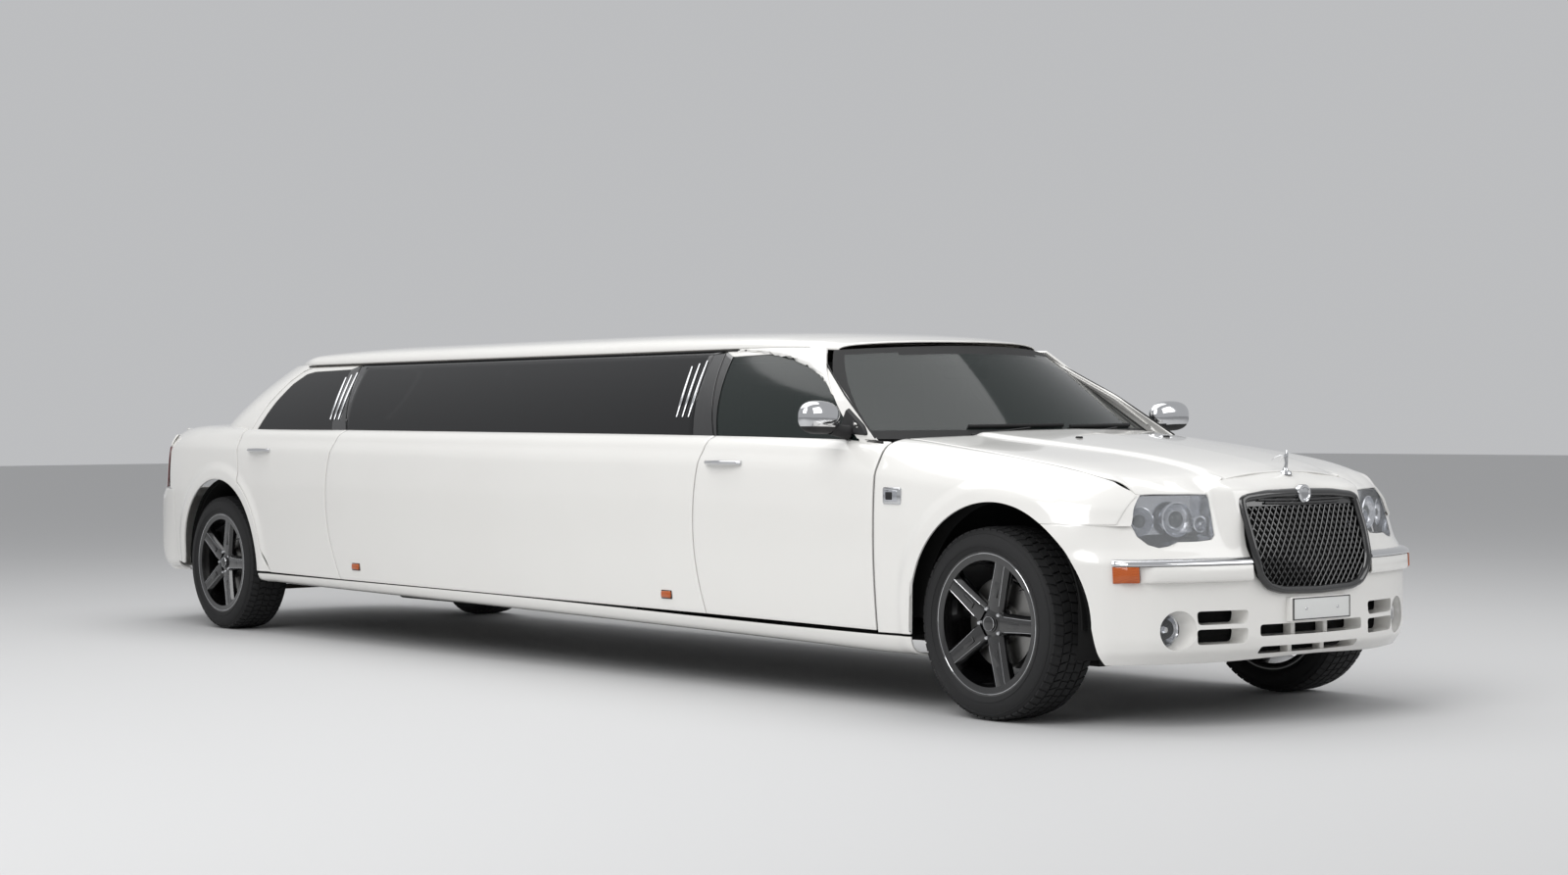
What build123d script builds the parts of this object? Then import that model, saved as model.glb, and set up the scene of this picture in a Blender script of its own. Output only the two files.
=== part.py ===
from build123d import *
import os
from math import atan2, cos, degrees, hypot, radians, sin

os.makedirs("parts", exist_ok=True)

# Driving dimensions in millimetres. X points forward, Y to the left, Z up.
# The origin is on the ground under the middle of the car's length.

# Axles and overhangs
wheelbase = 6100
front_overhang = 840
rear_overhang = 1110
track = 1600

# Wheels and tyres
tyre_diameter = 728
tyre_width = 245
tyre_shoulder = 42
rim_seat_radius = 254
rim_lip_radius = 272
rim_barrel_radius = 240
rim_half_width = 112
spoke_count = 5
spoke_root_width = 84
spoke_tip_width = 58
spoke_thickness = 26
spoke_inset = 8
wheel_hub_radius = 74
wheel_hub_depth = 60
hub_bore_radius = 32
disc_radius = 168
disc_thickness = 28

# Steering and suspension
kingpin_half = 720
ball_pin_radius = 12
stub_flange_radius = 60
stub_length = 52

# Clearances
shut_gap = 6
frame_gap = 18
running_fit = 0.05
seat_fit = 0.3
glass_gap = 2

# Wall thicknesses
door_wall = 100
fender_wall = 34
quarter_wall = 60
hood_wall = 24
lid_wall = 26
bumper_wall = 45
pillar_wall = 42
roof_wall = 34
glass_wall = 6
liner_wall = 6
liner_gap = 2
liner_foot = 10
panel_wall = 20

# Body heights and widths
floor_bottom = 262
floor_wall = 22
floor_half = 775
tunnel_top = 372
tunnel_half = 110
axle_floor = 500
kick_up = 160
wheelhouse_half = 620
bumper_top = 750
rear_bumper_top = 765
nose_setback = 70
nose_lean = 0.3
tail_setback = 55
grille_pitch = 62
grille_bottom = 484
grille_lean = 10
ornament_gap = 0.5
grille_bar_reach = 9
roof_seam = 1432
belt_seam = 1035
door_inner_half = 740
frame_inner_half = 570

front_axle_x = (front_overhang + wheelbase + rear_overhang) / 2 - front_overhang
rear_axle_x = front_axle_x - wheelbase
axle_z = tyre_diameter / 2
wheel_y = track / 2

# Body sections. Columns: x from the axle, then height and half width of the
# underside, sill, waist, shoulder and belt, then the height of the crown.
nose_sections = [
    # x     under       sill        waist       shoulder    belt        crown
    (900, (245, 770), (310, 890), (560, 925), (765, 470), (800, 300), 885),
    (450, (235, 795), (305, 905), (560, 938), (812, 918), (908, 765), 966),
    (0, (225, 815), (300, 922), (620, 940), (855, 928), (980, 800), 1022),
    (-606, (211, 820), (298, 925), (640, 940), (917, 932), (1042, 870), 1088),
]
cabin_front_section = nose_sections[-1]
cabin_rear_section = (800, (268, 820), (328, 925), (660, 940), (989, 932), (1092, 885), 1120)
tail_sections = [
    cabin_rear_section,
    (0, (280, 800), (338, 915), (660, 936), (990, 920), (1100, 850), 1132),
    (-560, (300, 760), (365, 885), (640, 908), (985, 880), (1098, 765), 1140),
    (-1130, (325, 700), (400, 800), (620, 835), (960, 795), (1062, 650), 1098),
]

# Greenhouse outline at the belt and at the roof seam. Columns: place along the
# car, x from that place's axle, half width.
belt_line = [("front", -685, 870), ("front", -1800, 884), ("rear", 300, 890), ("rear", -460, 808)]
roof_line = [("front", -1215, 618), ("front", -1900, 626), ("rear", 500, 628), ("rear", 90, 575)]
belt_front_centre = -490
roof_front_centre = -1000
belt_rear_centre = -690
roof_rear_centre = -60

# Roof sections. Columns: place, x from its axle, half width, seam height,
# shoulder half width, shoulder height, crown height.
roof_sections = [
    ("front", -1010, 560, 1400, 470, 1434, 1446),
    ("front", -1500, 632, 1432, 560, 1482, 1502),
    ("front", -2600, 640, 1432, 570, 1496, 1530),
    ("rear", 800, 642, 1432, 570, 1498, 1534),
    ("rear", 250, 622, 1428, 540, 1478, 1508),
    ("rear", -70, 560, 1404, 480, 1438, 1452),
]


def front(x):
    return front_axle_x + x


def rear(x):
    return rear_axle_x + x


def along(place, x):
    return front(x) if place == "front" else rear(x)


def outline(start, *steps):
    # A closed flat face. A step is a point, or a pair of points for an arc.
    edges = []
    at = start
    for step in steps + (start,):
        if isinstance(step[0], tuple):
            edges.append(ThreePointArc(at, step[0], step[1]))
            at = step[1]
        elif step != at:
            edges.append(Line(at, step))
            at = step
    return make_face(edges)


def side_prism(face, inner=0, outer=1150):
    # A side view outline pushed out through the right side of the car.
    return extrude(Plane.XZ.offset(inner) * face, amount=outer - inner)


def front_prism(face, x_low, x_high):
    return extrude(Plane.YZ.offset(x_low) * face, amount=x_high - x_low)


def door_prism(face):
    # A door outline pushed out from a line that stays clear of the windscreen.
    limit = outline(
        (-1150, 0), (-door_inner_half, 0), (-door_inner_half, belt_seam),
        (-frame_inner_half, roof_seam), (-1150, roof_seam),
    )
    return side_prism(face, 400) & front_prism(limit, rear(0), front(0))


def plan_prism(face, z_low, z_high, lean=0.0):
    rise = (z_high - z_low) * hypot(1, lean)
    return extrude(Plane.XY.offset(z_low) * face, amount=rise, dir=(-lean, 0, 1))


def block(x_low, x_high, y_low, y_high, z_low, z_high):
    size = (x_high - x_low, y_high - y_low, z_high - z_low)
    centre = ((x_low + x_high) / 2, (y_low + y_high) / 2, (z_low + z_high) / 2)
    return Pos(*centre) * Box(*size)


def rounded_block(radius, *limits):
    body = block(*limits)
    return fillet(body.edges(), radius)


def both_sides(right):
    return Compound(list(right.solids()) + list(mirror(right, about=Plane.XZ).solids()))


def left_of(right):
    return mirror(right, about=Plane.XZ)


def section_face(x, under, sill, waist, shoulder, belt, crown, wall=0, roof_drop=0):
    # A body cross section, made smaller by a wall at the sides and top.
    def at(pair, sign):
        return (x, sign * (pair[1] - wall), pair[0])

    low = -200 if wall else 0
    under_right = (x, -(under[1] - wall), under[0] + low)
    under_left = (x, under[1] - wall, under[0] + low)
    top = (x, 0, crown - roof_drop)
    belt_right = (x, -(belt[1] - wall), belt[0] - roof_drop)
    belt_left = (x, belt[1] - wall, belt[0] - roof_drop)
    edges = [
        Line(under_left, under_right),
        Line(under_right, at(sill, -1)),
        ThreePointArc(at(sill, -1), at(waist, -1), at(shoulder, -1)),
        Line(at(shoulder, -1), belt_right),
        ThreePointArc(belt_right, top, belt_left),
        Line(belt_left, at(shoulder, 1)),
        ThreePointArc(at(shoulder, 1), at(waist, 1), at(sill, 1)),
        Line(at(sill, 1), under_left),
    ]
    return make_face(edges)


def lofted(sections, place, wall=0, roof_drop=0, stretch=0):
    faces = []
    for number, (x, *rest) in enumerate(sections):
        ends = {0: stretch, len(sections) - 1: -stretch}
        faces.append(section_face(place(x) + ends.get(number, 0), *rest, wall, roof_drop))
    return loft(faces, ruled=True)


def nose_form(wall=0, roof_drop=0, stretch=0):
    return lofted(nose_sections, front, wall, roof_drop, stretch)


def tail_form(wall=0, roof_drop=0, stretch=0):
    return lofted(tail_sections, rear, wall, roof_drop, stretch)


def cabin_form(wall=0, roof_drop=0, stretch=0):
    x, *fore = cabin_front_section
    x_aft, *aft = cabin_rear_section
    faces = [
        section_face(front(x) + stretch, *fore, wall, roof_drop),
        section_face(rear(x_aft) - stretch, *aft, wall, roof_drop),
    ]
    return loft(faces, ruled=True)


def nose_plan(setback=0):
    # Plan outline of the front, with rounded corners.
    back = front(-700)
    tip = front(front_overhang - setback)
    side = front(300 - setback)
    shoulder = front(545 - setback)
    corner = front(660 - setback)
    return outline(
        (back, -990),
        (side, -950),
        ((shoulder, -850), (corner, -710)),
        ((tip, 0), (corner, 710)),
        ((shoulder, 850), (side, 950)),
        (back, 990),
    )


def tail_plan(setback=0):
    back = rear(500)
    tip = rear(-rear_overhang + setback)
    corner = rear(-960 + setback)
    side = rear(-430 + setback)
    return outline(
        (back, -990),
        (side, -945),
        ((rear(-800 + setback), -860), (corner, -690)),
        ((tip, 0), (corner, 690)),
        ((rear(-800 + setback), 860), (side, 945)),
        (back, 990),
    )


def nose_limit(extra=0):
    low = plan_prism(nose_plan(-extra), 150, bumper_top)
    high = plan_prism(nose_plan(nose_setback - extra), bumper_top, 1300, nose_lean)
    return low + high


def tail_limit(extra=0):
    low = plan_prism(tail_plan(-extra), 150, rear_bumper_top)
    high = plan_prism(tail_plan(tail_setback - extra), rear_bumper_top, 1300)
    return low + high


def greenhouse(inset=0, low=belt_seam, high=roof_seam):
    # The glasshouse between belt and roof, a ruled body between two outlines.
    faces = []
    levels = [
        (low, belt_line, belt_front_centre, belt_rear_centre),
        (high, roof_line, roof_front_centre, roof_rear_centre),
    ]
    for z, corners, front_centre, rear_centre in levels:
        shift = {0: -inset, 1: 0, 2: 0, 3: inset}
        right = [
            (along(place, x) + shift[number], -(half - inset), z)
            for number, (place, x, half) in enumerate(corners)
        ]
        left = [(x, -y, z) for x, y, z in right]
        nose = (front(front_centre) - inset, 0, z)
        tail = (rear(rear_centre) + inset, 0, z)
        edges = [
            ThreePointArc(left[0], nose, right[0]),
            Line(right[0], right[1]),
            Line(right[1], right[2]),
            Line(right[2], right[3]),
            ThreePointArc(right[3], tail, left[3]),
            Line(left[3], left[2]),
            Line(left[2], left[1]),
            Line(left[1], left[0]),
        ]
        faces.append(make_face(edges))
    return loft(faces, ruled=True)


# Door outlines in side view. A door grows by a gap to give its opening.
front_door_front = -606
front_door_rear = -1700
front_door_bow = -1765
rear_door_front = 1300
rear_door_bow = 1204
door_bottom_front = 306
door_bottom_rear = 334


def front_door_outline(grow=0):
    slack = grow * frame_gap / shut_gap
    return outline(
        (front(front_door_front + grow), door_bottom_front - grow),
        (front(front_door_front + grow), 1048),
        (front(-690 + grow), 1078 + grow),
        (front(-1190 + grow), 1398 + grow),
        (front(-1390 + grow), 1424 + grow),
        (front(-1940 - slack), 1424 + grow),
        (front(-1775 - slack), 1092),
        (front(front_door_rear - grow), 1070),
        (
            (front(front_door_bow - grow), 700),
            (front(front_door_rear - grow), door_bottom_front + 14 - grow),
        ),
    )


def rear_door_outline(grow=0):
    slack = grow * frame_gap / shut_gap
    reach = rear_arch_radius + rear_door_arch_margin - grow
    centre_x = rear(rear_arch_x)
    low = (rear(590 - grow), door_bottom_rear - 4 - grow)
    mid = (centre_x + reach * cos(radians(28)), rear_arch_z + reach * sin(radians(28)))
    high = (centre_x + reach * cos(radians(62)), rear_arch_z + reach * sin(radians(62)))
    return outline(
        (rear(rear_door_front + 18 + grow), door_bottom_rear - 12 - grow),
        (
            (rear(rear_door_bow + grow), 740),
            (rear(rear_door_front + grow), 1085 + grow),
        ),
        (rear(1222 + grow), 1090 + grow),
        (rear(1062 + grow), 1424 + grow),
        (rear(520 - slack), 1424 + grow),
        (rear(400 - slack), 1320),
        (rear(245 - slack), 1105),
        (rear(225 - grow), 1000),
        high,
        (mid, (rear(rear_arch_x + rear_arch_radius + 52 - grow), 480)),
        low,
    )


# Wheel arches: opening radius, centre from the axle, and the foot's spread
front_arch_radius = 450
front_arch_x = 60
front_arch_z = 372
front_liner_x = -15
front_liner_radius = 470
rear_arch_radius = 434
rear_arch_x = 22
rear_arch_z = 390
rear_door_arch_margin = 55
arch_foot = 45


def arch_outline(centre_x, centre_z, radius, ahead, behind):
    return outline(
        (centre_x + radius + ahead, 0),
        (centre_x + radius, centre_z),
        ((centre_x, centre_z + radius), (centre_x - radius, centre_z)),
        (centre_x - radius - behind, 0),
    )


def front_arch():
    return arch_outline(front(front_arch_x), front_arch_z, front_arch_radius, arch_foot, 0)


def rear_arch():
    return arch_outline(rear(rear_arch_x), rear_arch_z, rear_arch_radius, arch_foot, -arch_foot)


# Glass outlines in side view. Columns: place, x from its axle, height.
front_door_glass = [
    ("front", -795, 1098), ("front", -1085, 1282), ("front", -1250, 1362),
    ("front", -1420, 1388), ("front", -1850, 1388), ("front", -1690, 1098),
]
stretch_glass = [
    ("front", -1872, 1100), ("front", -2008, 1392), ("rear", 1132, 1396), ("rear", 1272, 1122),
]
rear_door_glass = [
    ("rear", 1150, 1126), ("rear", 1008, 1392), ("rear", 660, 1388),
    ("rear", 520, 1345), ("rear", 325, 1132),
]
screen_glass = [(-705, 1090), (-560, 1402), (560, 1402), (705, 1090)]
back_glass = [(-600, 1165), (-500, 1395), (500, 1395), (600, 1165)]


def side_glass_face(points, margin=0):
    corners = [(along(place, x), z) for place, x, z in points]
    face = outline(*corners)
    return offset(face, -margin) if margin else face


def front_glass_face(points, margin=0):
    face = outline(*points)
    return offset(face, -margin) if margin else face


def glass_layer(low=belt_seam, high=roof_seam):
    return greenhouse(8, low, high) - greenhouse(8 + glass_wall, low, high)


# Shared forms, made once
nose_solid = nose_form() & nose_limit()
tail_solid = tail_form() & tail_limit()
cabin_solid = cabin_form()
house_shell = greenhouse() - greenhouse(pillar_wall)
house_glass = glass_layer()
front_opening = door_prism(front_door_outline(shut_gap))
rear_opening = door_prism(rear_door_outline(shut_gap))
front_arch_cut = both_sides(side_prism(front_arch(), 430))
rear_arch_cut = both_sides(side_prism(rear_arch(), 600))


# Lid outlines in plan, trimmed to leave the shut gaps
hood_rear = -590
hood_rear_centre = -440
hood_half_rear = 770
hood_half_front = 690
hood_nose = 668
hood_nose_centre = 612
surround_half = 392
lamp_rear = 545
cowl_half = 770
lid_front = -700
lid_half = 690
lid_bottom = 800


def hood_plan(grow=0):
    # The hood stops short of the raised surround of the grille.
    return outline(
        (front(hood_nose + grow), -(hood_half_front + grow)),
        (front(hood_rear - grow), -(hood_half_rear + grow)),
        ((front(hood_rear_centre - grow), 0), (front(hood_rear - grow), hood_half_rear + grow)),
        (front(hood_nose + grow), hood_half_front + grow),
        (front(hood_nose + grow), surround_half + 12 - grow),
        (front(hood_nose_centre + grow), surround_half - 30 - grow),
        (front(hood_nose_centre + grow), -(surround_half - 30 - grow)),
        (front(hood_nose + grow), -(surround_half + 12 - grow)),
    )


def lamp_face(grow=0):
    # Right headlamp in front view.
    return outline(
        (-400 + grow, 850 + grow),
        (-412 + grow, 690 - grow),
        (-600, 686 - grow),
        ((-700, 664 - grow), (-790, 700 - grow)),
        (-960 - grow, 760 - grow),
        (-960 - grow, 850 + grow),
    )


def grille_face(inset=0):
    # Grille surround in front view, narrower at the foot.
    top, bottom = 846 - inset, grille_bottom + inset
    return outline(
        (-(334 - inset), top),
        ((0, top + 16), (334 - inset, top)),
        ((352 - inset, 690), (300 - inset, 530 + inset)),
        (220 - inset, bottom),
        (-(220 - inset), bottom),
        (-(300 - inset), 530 + inset),
        ((-(352 - inset), 690), (-(334 - inset), top)),
    )


def make_hood():
    skin = nose_solid - nose_form(hood_wall, hood_wall, 60)
    return skin & plan_prism(hood_plan(), 840, 1200)


def make_front_fenders():
    shell = nose_solid - nose_form(fender_wall, fender_wall, 60)
    shell -= plan_prism(hood_plan(shut_gap), 780, 1200)
    shell -= block(front(290), front(900), -1000, 1000, 100, bumper_top)
    shell -= front_arch_cut
    shell -= both_sides(front_opening)
    for face in (lamp_face(glass_gap), mirror(lamp_face(glass_gap), about=Plane.YZ)):
        shell -= front_prism(face, front(lamp_rear - glass_gap), front(900))
    shell -= block(front(380), front(900), -600, 600, 700, 1000)
    shell -= plan_prism(cowl_plan(2, shut_gap), 900, 1300)
    shell -= block(front(-700), front(front_door_front + shut_gap), -1000, 1000, 0, 1300)
    return keep_large(shell)


def keep_large(shape, least=200000):
    # Leaves out slivers that a cut leaves at a seam.
    return Compound([solid for solid in shape.solids() if solid.volume > least])


def make_headlamps():
    body = nose_solid & front_prism(lamp_face(), front(lamp_rear), front(900))
    chunk = body & (plan_prism(nose_plan(nose_setback), 600, 900, nose_lean)
                    - plan_prism(nose_plan(nose_setback + 130), 600, 900, nose_lean))
    return both_sides(keep_large(chunk))


def make_grille():
    face_x = front(front_overhang - 40)
    ring = grille_face() - grille_face(34)
    frame = front_prism(ring, face_x - 90, face_x)
    bars = []
    for slant in (45, -45):
        for number in range(-grille_bar_reach, grille_bar_reach + 1):
            place = Pos(face_x - 34, number * grille_pitch, 665) * Rot(slant, 0, 0)
            bars.append(place * Box(12, 9, 900))
    lattice = (Part() + bars) & front_prism(grille_face(30), face_x - 50, face_x)
    return (frame + lattice).rotate(Axis((face_x, 0, grille_bottom), (0, -1, 0)), grille_lean)


# Number plate carrier in the middle of the front bumper
plate_half = 170
plate_low = 374
plate_high = 468
plate_hole_spacing = 178
plate_hole_radius = 3.5


def make_front_bumper():
    low_inside = plan_prism(nose_plan(bumper_wall), 0, bumper_top - 30)
    high_inside = plan_prism(nose_plan(nose_setback + bumper_wall), bumper_top - 30, 1200, nose_lean)
    skin = nose_solid - (nose_form(bumper_wall, bumper_wall, 60) & (low_inside + high_inside))
    low = block(front(300), front(900), -1000, 1000, 200, bumper_top - 2)
    high = block(front(560), front(900), -surround_half, surround_half, 700, 1000)
    skin &= low + high
    skin -= plan_prism(hood_plan(shut_gap), 780, 1300)
    skin -= front_arch_cut
    skin -= front_prism(grille_face(-4), front(550), front(900))
    for sign in (-1, 1):
        skin -= front_prism(Pos(sign * 412, 370) * Rectangle(280, 106), front(600), front(900))
        skin -= front_prism(Pos(sign * 633, 360) * Circle(84), front(500), front(900))
        lamp = lamp_face(glass_gap) if sign < 0 else mirror(lamp_face(glass_gap), about=Plane.YZ)
        skin -= front_prism(lamp, front(lamp_rear - glass_gap), front(900))
    for column in (-190, 0, 190):
        skin -= front_prism(Pos(column, 322) * Rectangle(170, 96), front(600), front(900))
    skin += block(front(front_overhang - bumper_wall), front(front_overhang), -plate_half, plate_half,
                  plate_low, plate_high)
    for sign in (-1, 1):
        hole = Pos(sign * plate_hole_spacing / 2, (plate_low + plate_high) / 2) * Circle(plate_hole_radius)
        skin -= front_prism(hole, front(600), front(900))
    return keep_large(skin)


def make_fog_lamps():
    lamps = []
    for sign in (-1, 1):
        lamps += (Pos(front(655), sign * 633, 360) * Rot(0, 90, 0) * Cylinder(78, 60)).solids()
    return Compound(lamps)


def make_rear_bumper():
    skin = tail_solid - (tail_form(bumper_wall, 0, 60)
                         & plan_prism(tail_plan(bumper_wall), 0, 1200))
    skin &= block(rear(-1200), rear(-560), -1000, 1000, 250, rear_bumper_top - 2)
    return keep_large(skin - rear_arch_cut)


def lid_cut(grow=0):
    # The boot lid takes the deck and the upright rear panel between the lamps.
    return block(rear(-1300), rear(lid_front + grow), -(lid_half + grow), lid_half + grow,
                 lid_bottom - grow, 1200)


def make_boot_lid():
    inner = tail_form(0, lid_wall, 60) & plan_prism(tail_plan(tail_setback + lid_wall), 0, 1300)
    return (tail_solid - inner) & lid_cut()


def tail_lamp_box(grow=0):
    return block(rear(-1300), rear(-560 + grow), -1000, -(lid_half + 20 - grow),
                 rear_bumper_top + 8 - grow, 1010 + grow)


def make_tail_lamps():
    inner = tail_form(70, 70, 60) & plan_prism(tail_plan(tail_setback + 70), 0, 1300)
    return both_sides((tail_solid - inner) & tail_lamp_box())


def make_quarters():
    shell = tail_solid - (tail_form(quarter_wall, quarter_wall, 60)
                          & plan_prism(tail_plan(tail_setback + 40), 0, 1300))
    shell -= lid_cut(shut_gap)
    shell -= both_sides(tail_lamp_box(glass_gap))
    shell -= block(rear(-1300), rear(-560 + 2), -1000, 1000, 200, rear_bumper_top)
    shell -= greenhouse(pillar_wall, 1020, roof_seam)
    shell += house_shell & block(rear(-900), rear(800), -1000, 1000, belt_seam, roof_seam)
    shell -= both_sides(rear_opening)
    shell -= rear_arch_cut
    shell -= front_prism(front_glass_face(back_glass), rear(-900), rear(80))
    shell -= block(rear(300), rear(900), -1000, 1000, 0, door_bottom_rear - 12 - shut_gap)
    shell -= block(rear(820), rear(900), -1100, 1100, 0, 1600)
    return keep_large(shell)


def make_side_panels():
    shell = cabin_solid - cabin_form(door_wall, -200, 60)
    shell += house_shell & block(rear(790), front(-1500), -1000, 1000, belt_seam, roof_seam)
    shell -= both_sides(front_opening)
    shell -= both_sides(rear_opening)
    shell -= both_sides(side_prism(side_glass_face(stretch_glass), 400))
    shell -= block(rear(0), front(0), -1000, 1000, 0, sill_top)
    keep = block(rear(1080), front(-1650), -1000, 1000, 0, 1600)
    return keep_large(shell & keep)


sill_top = 298
sill_wall = 110


def make_sills():
    shell = cabin_solid - cabin_form(sill_wall, -200, 60)
    shell &= block(rear(600), front(-560), -1000, 1000, 100, sill_top - 1)
    shell -= both_sides(front_opening)
    return keep_large(shell - rear_arch_cut)


def make_front_door():
    shell = cabin_solid - cabin_form(door_wall, -200, 60)
    shell += house_shell & block(front(-2100), front(-600), -1000, 1000, belt_seam, roof_seam)
    door = shell & door_prism(front_door_outline())
    return keep_large(door - side_prism(side_glass_face(front_door_glass), 400))


def make_rear_door():
    shell = cabin_solid - cabin_form(door_wall, -200, 60)
    tail = tail_form() - tail_form(door_wall, -200, 60)
    shell += tail & block(rear(0), rear(800), -1000, 1000, 0, 1300)
    shell += house_shell & block(rear(0), rear(1500), -1000, 1000, belt_seam, roof_seam)
    door = shell & door_prism(rear_door_outline())
    return keep_large(door - side_prism(side_glass_face(rear_door_glass), 400))


def side_pane(points):
    prism = side_prism(side_glass_face(points, glass_gap), 400)
    return house_glass & prism


def make_windscreen():
    face = front_glass_face(screen_glass, glass_gap)
    return house_glass & front_prism(face, front(-1400), front(-300))


def make_rear_window():
    face = front_glass_face(back_glass, glass_gap)
    return house_glass & front_prism(face, rear(-900), rear(80))


def make_screen_frame():
    frame = house_shell & block(front(-1400), front(-400), -1000, 1000, belt_seam, roof_seam)
    frame -= both_sides(front_opening)
    frame -= front_prism(front_glass_face(screen_glass), front(-1350), front(-300))
    frame &= block(front(-1330), front(-400), -1000, 1000, belt_seam, roof_seam)
    return keep_large(frame, 20000)


def roof_form(drop=0):
    faces = []
    last = len(roof_sections) - 1
    for number, (place, x, half, seam, shoulder, shoulder_z, crown) in enumerate(roof_sections):
        station = along(place, x)
        station += {0: 1, last: -1}.get(number, 0) * (20 if drop else 0)
        low = roof_seam - 100 if drop else seam - 30
        side = half - drop
        arm = shoulder - drop
        edges = [
            Line((station, side, low), (station, -side, low)),
            Line((station, -side, low), (station, -side, seam - drop)),
            Line((station, -side, seam - drop), (station, -arm, shoulder_z - drop)),
            ThreePointArc((station, -arm, shoulder_z - drop), (station, 0, crown - drop),
                          (station, arm, shoulder_z - drop)),
            Line((station, arm, shoulder_z - drop), (station, side, seam - drop)),
            Line((station, side, seam - drop), (station, side, low)),
        ]
        faces.append(make_face(edges))
    return loft(faces, ruled=True)


def make_roof():
    roof = roof_form() & block(rear(-200), front(-900), -800, 800, roof_seam + 1, 1700)
    return keep_large(roof - roof_form(roof_wall))


def cowl_plan(grow=0, ahead=0):
    reach = hood_rear - shut_gap - 4 + ahead
    reach_centre = hood_rear_centre - shut_gap - 4 + ahead
    half = cowl_half + grow
    return outline(
        (front(reach), -half),
        (front(-790), -half),
        (front(-790), half),
        (front(reach), half),
        ((front(reach_centre), 0), (front(reach), -half)),
    )


def make_cowl():
    # Scuttle panel between the hood and the windscreen, with the firewall.
    top = plan_prism(cowl_plan(), 1010, belt_seam - 1)
    wall = block(front(-640), front(-640 + panel_wall), -cowl_half, cowl_half,
                 floor_bottom + floor_wall, 1010)
    return (top + wall) - block(front(-700), front(-600), -112, 112, 0, tunnel_top + 2)


def make_floor():
    # Cabin floor with its tunnel, raised over the rear axle.
    low = floor_bottom
    plate = block(rear(kick_up), front(-575), -floor_half, floor_half, low, low + floor_wall)
    tunnel = block(rear(kick_up), front(-575), -tunnel_half, tunnel_half, low, tunnel_top)
    riser = block(rear(kick_up - panel_wall), rear(kick_up), -wheelhouse_half, wheelhouse_half,
                  low, axle_floor)
    deck = block(rear(-860), rear(kick_up), -wheelhouse_half, wheelhouse_half,
                 axle_floor, axle_floor + panel_wall)
    hollow = block(rear(0), front(-500), -tunnel_half + 20, tunnel_half - 20,
                   low - 1, tunnel_top - 20)
    wells = block(rear(0), rear(520), -1000, -wheelhouse_half, 0, 600)
    wells += block(rear(0), rear(520), wheelhouse_half, 1000, 0, 600)
    return (plate + tunnel + riser + deck) - hollow - wells


def make_boot_floor():
    # Bulkhead behind the rear seat and the parcel shelf.
    low = axle_floor + panel_wall
    wall = block(rear(-430), rear(-410), -600, 600, low, 1000)
    shelf = block(rear(-640), rear(-410), -600, 600, 1000, 1020)
    return wall + shelf


def make_arch_liners():
    pieces = []
    # Columns: centre x, centre z, radius, inner and outer half width
    liners = [
        (front(front_liner_x), front_arch_z, front_liner_radius, 440, 860),
        (rear(rear_arch_x), rear_arch_z, rear_arch_radius, 625, 865),
    ]
    for x, z, radius, inner, reach in liners:
        length = reach - inner
        outer = radius - liner_gap
        tube = Cylinder(outer, length) - Cylinder(outer - liner_wall, length)
        tube = Pos(x, -(inner + length / 2), z) * Rot(90, 0, 0) * tube
        tube &= block(x - 500, x + 500, -1000, 0, z - liner_foot, z + 600)
        cheek = Pos(x, -(inner + liner_wall / 2), z) * Rot(90, 0, 0)
        cheek = cheek * Cylinder(outer, liner_wall)
        cheek &= block(x - 500, x + 500, -1000, 0, z + 60, z + 600)
        pieces += list((tube + cheek).solids())
    # The front liner is wider than its arch, to clear the steered wheel
    disc = Pos(front(front_liner_x), -(860 - liner_wall / 2), front_arch_z) * Rot(90, 0, 0)
    disc = disc * Cylinder(front_liner_radius - liner_gap - 1, liner_wall)
    disc &= block(front(-600), front(0), -1000, 0, front_arch_z - liner_foot, 1000)
    flange = disc - side_prism(front_arch(), 430)
    pieces[0] = (pieces[0] + flange).solids()[0]
    right = Compound(pieces)
    return both_sides(right)


def tyre(y_centre):
    radius = tyre_diameter / 2
    bore = rim_seat_radius + seat_fit
    half = tyre_width / 2
    bead = rim_half_width - 10.5
    lip = rim_lip_radius + 1
    ring = outline(
        (bore, -bead),
        (lip, -bead),
        ((lip + 11, -rim_half_width - 2), (radius - 52, -half)),
        ((radius - 20, -half + 10), (radius, -half + tyre_shoulder)),
        (radius, half - tyre_shoulder),
        ((radius - 20, half - 10), (radius - 52, half)),
        ((lip + 11, rim_half_width + 2), (lip, bead)),
        (bore, bead),
    )
    return revolve(Plane.XY * ring, Axis.Y).moved(Location((0, y_centre, axle_z)))


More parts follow.
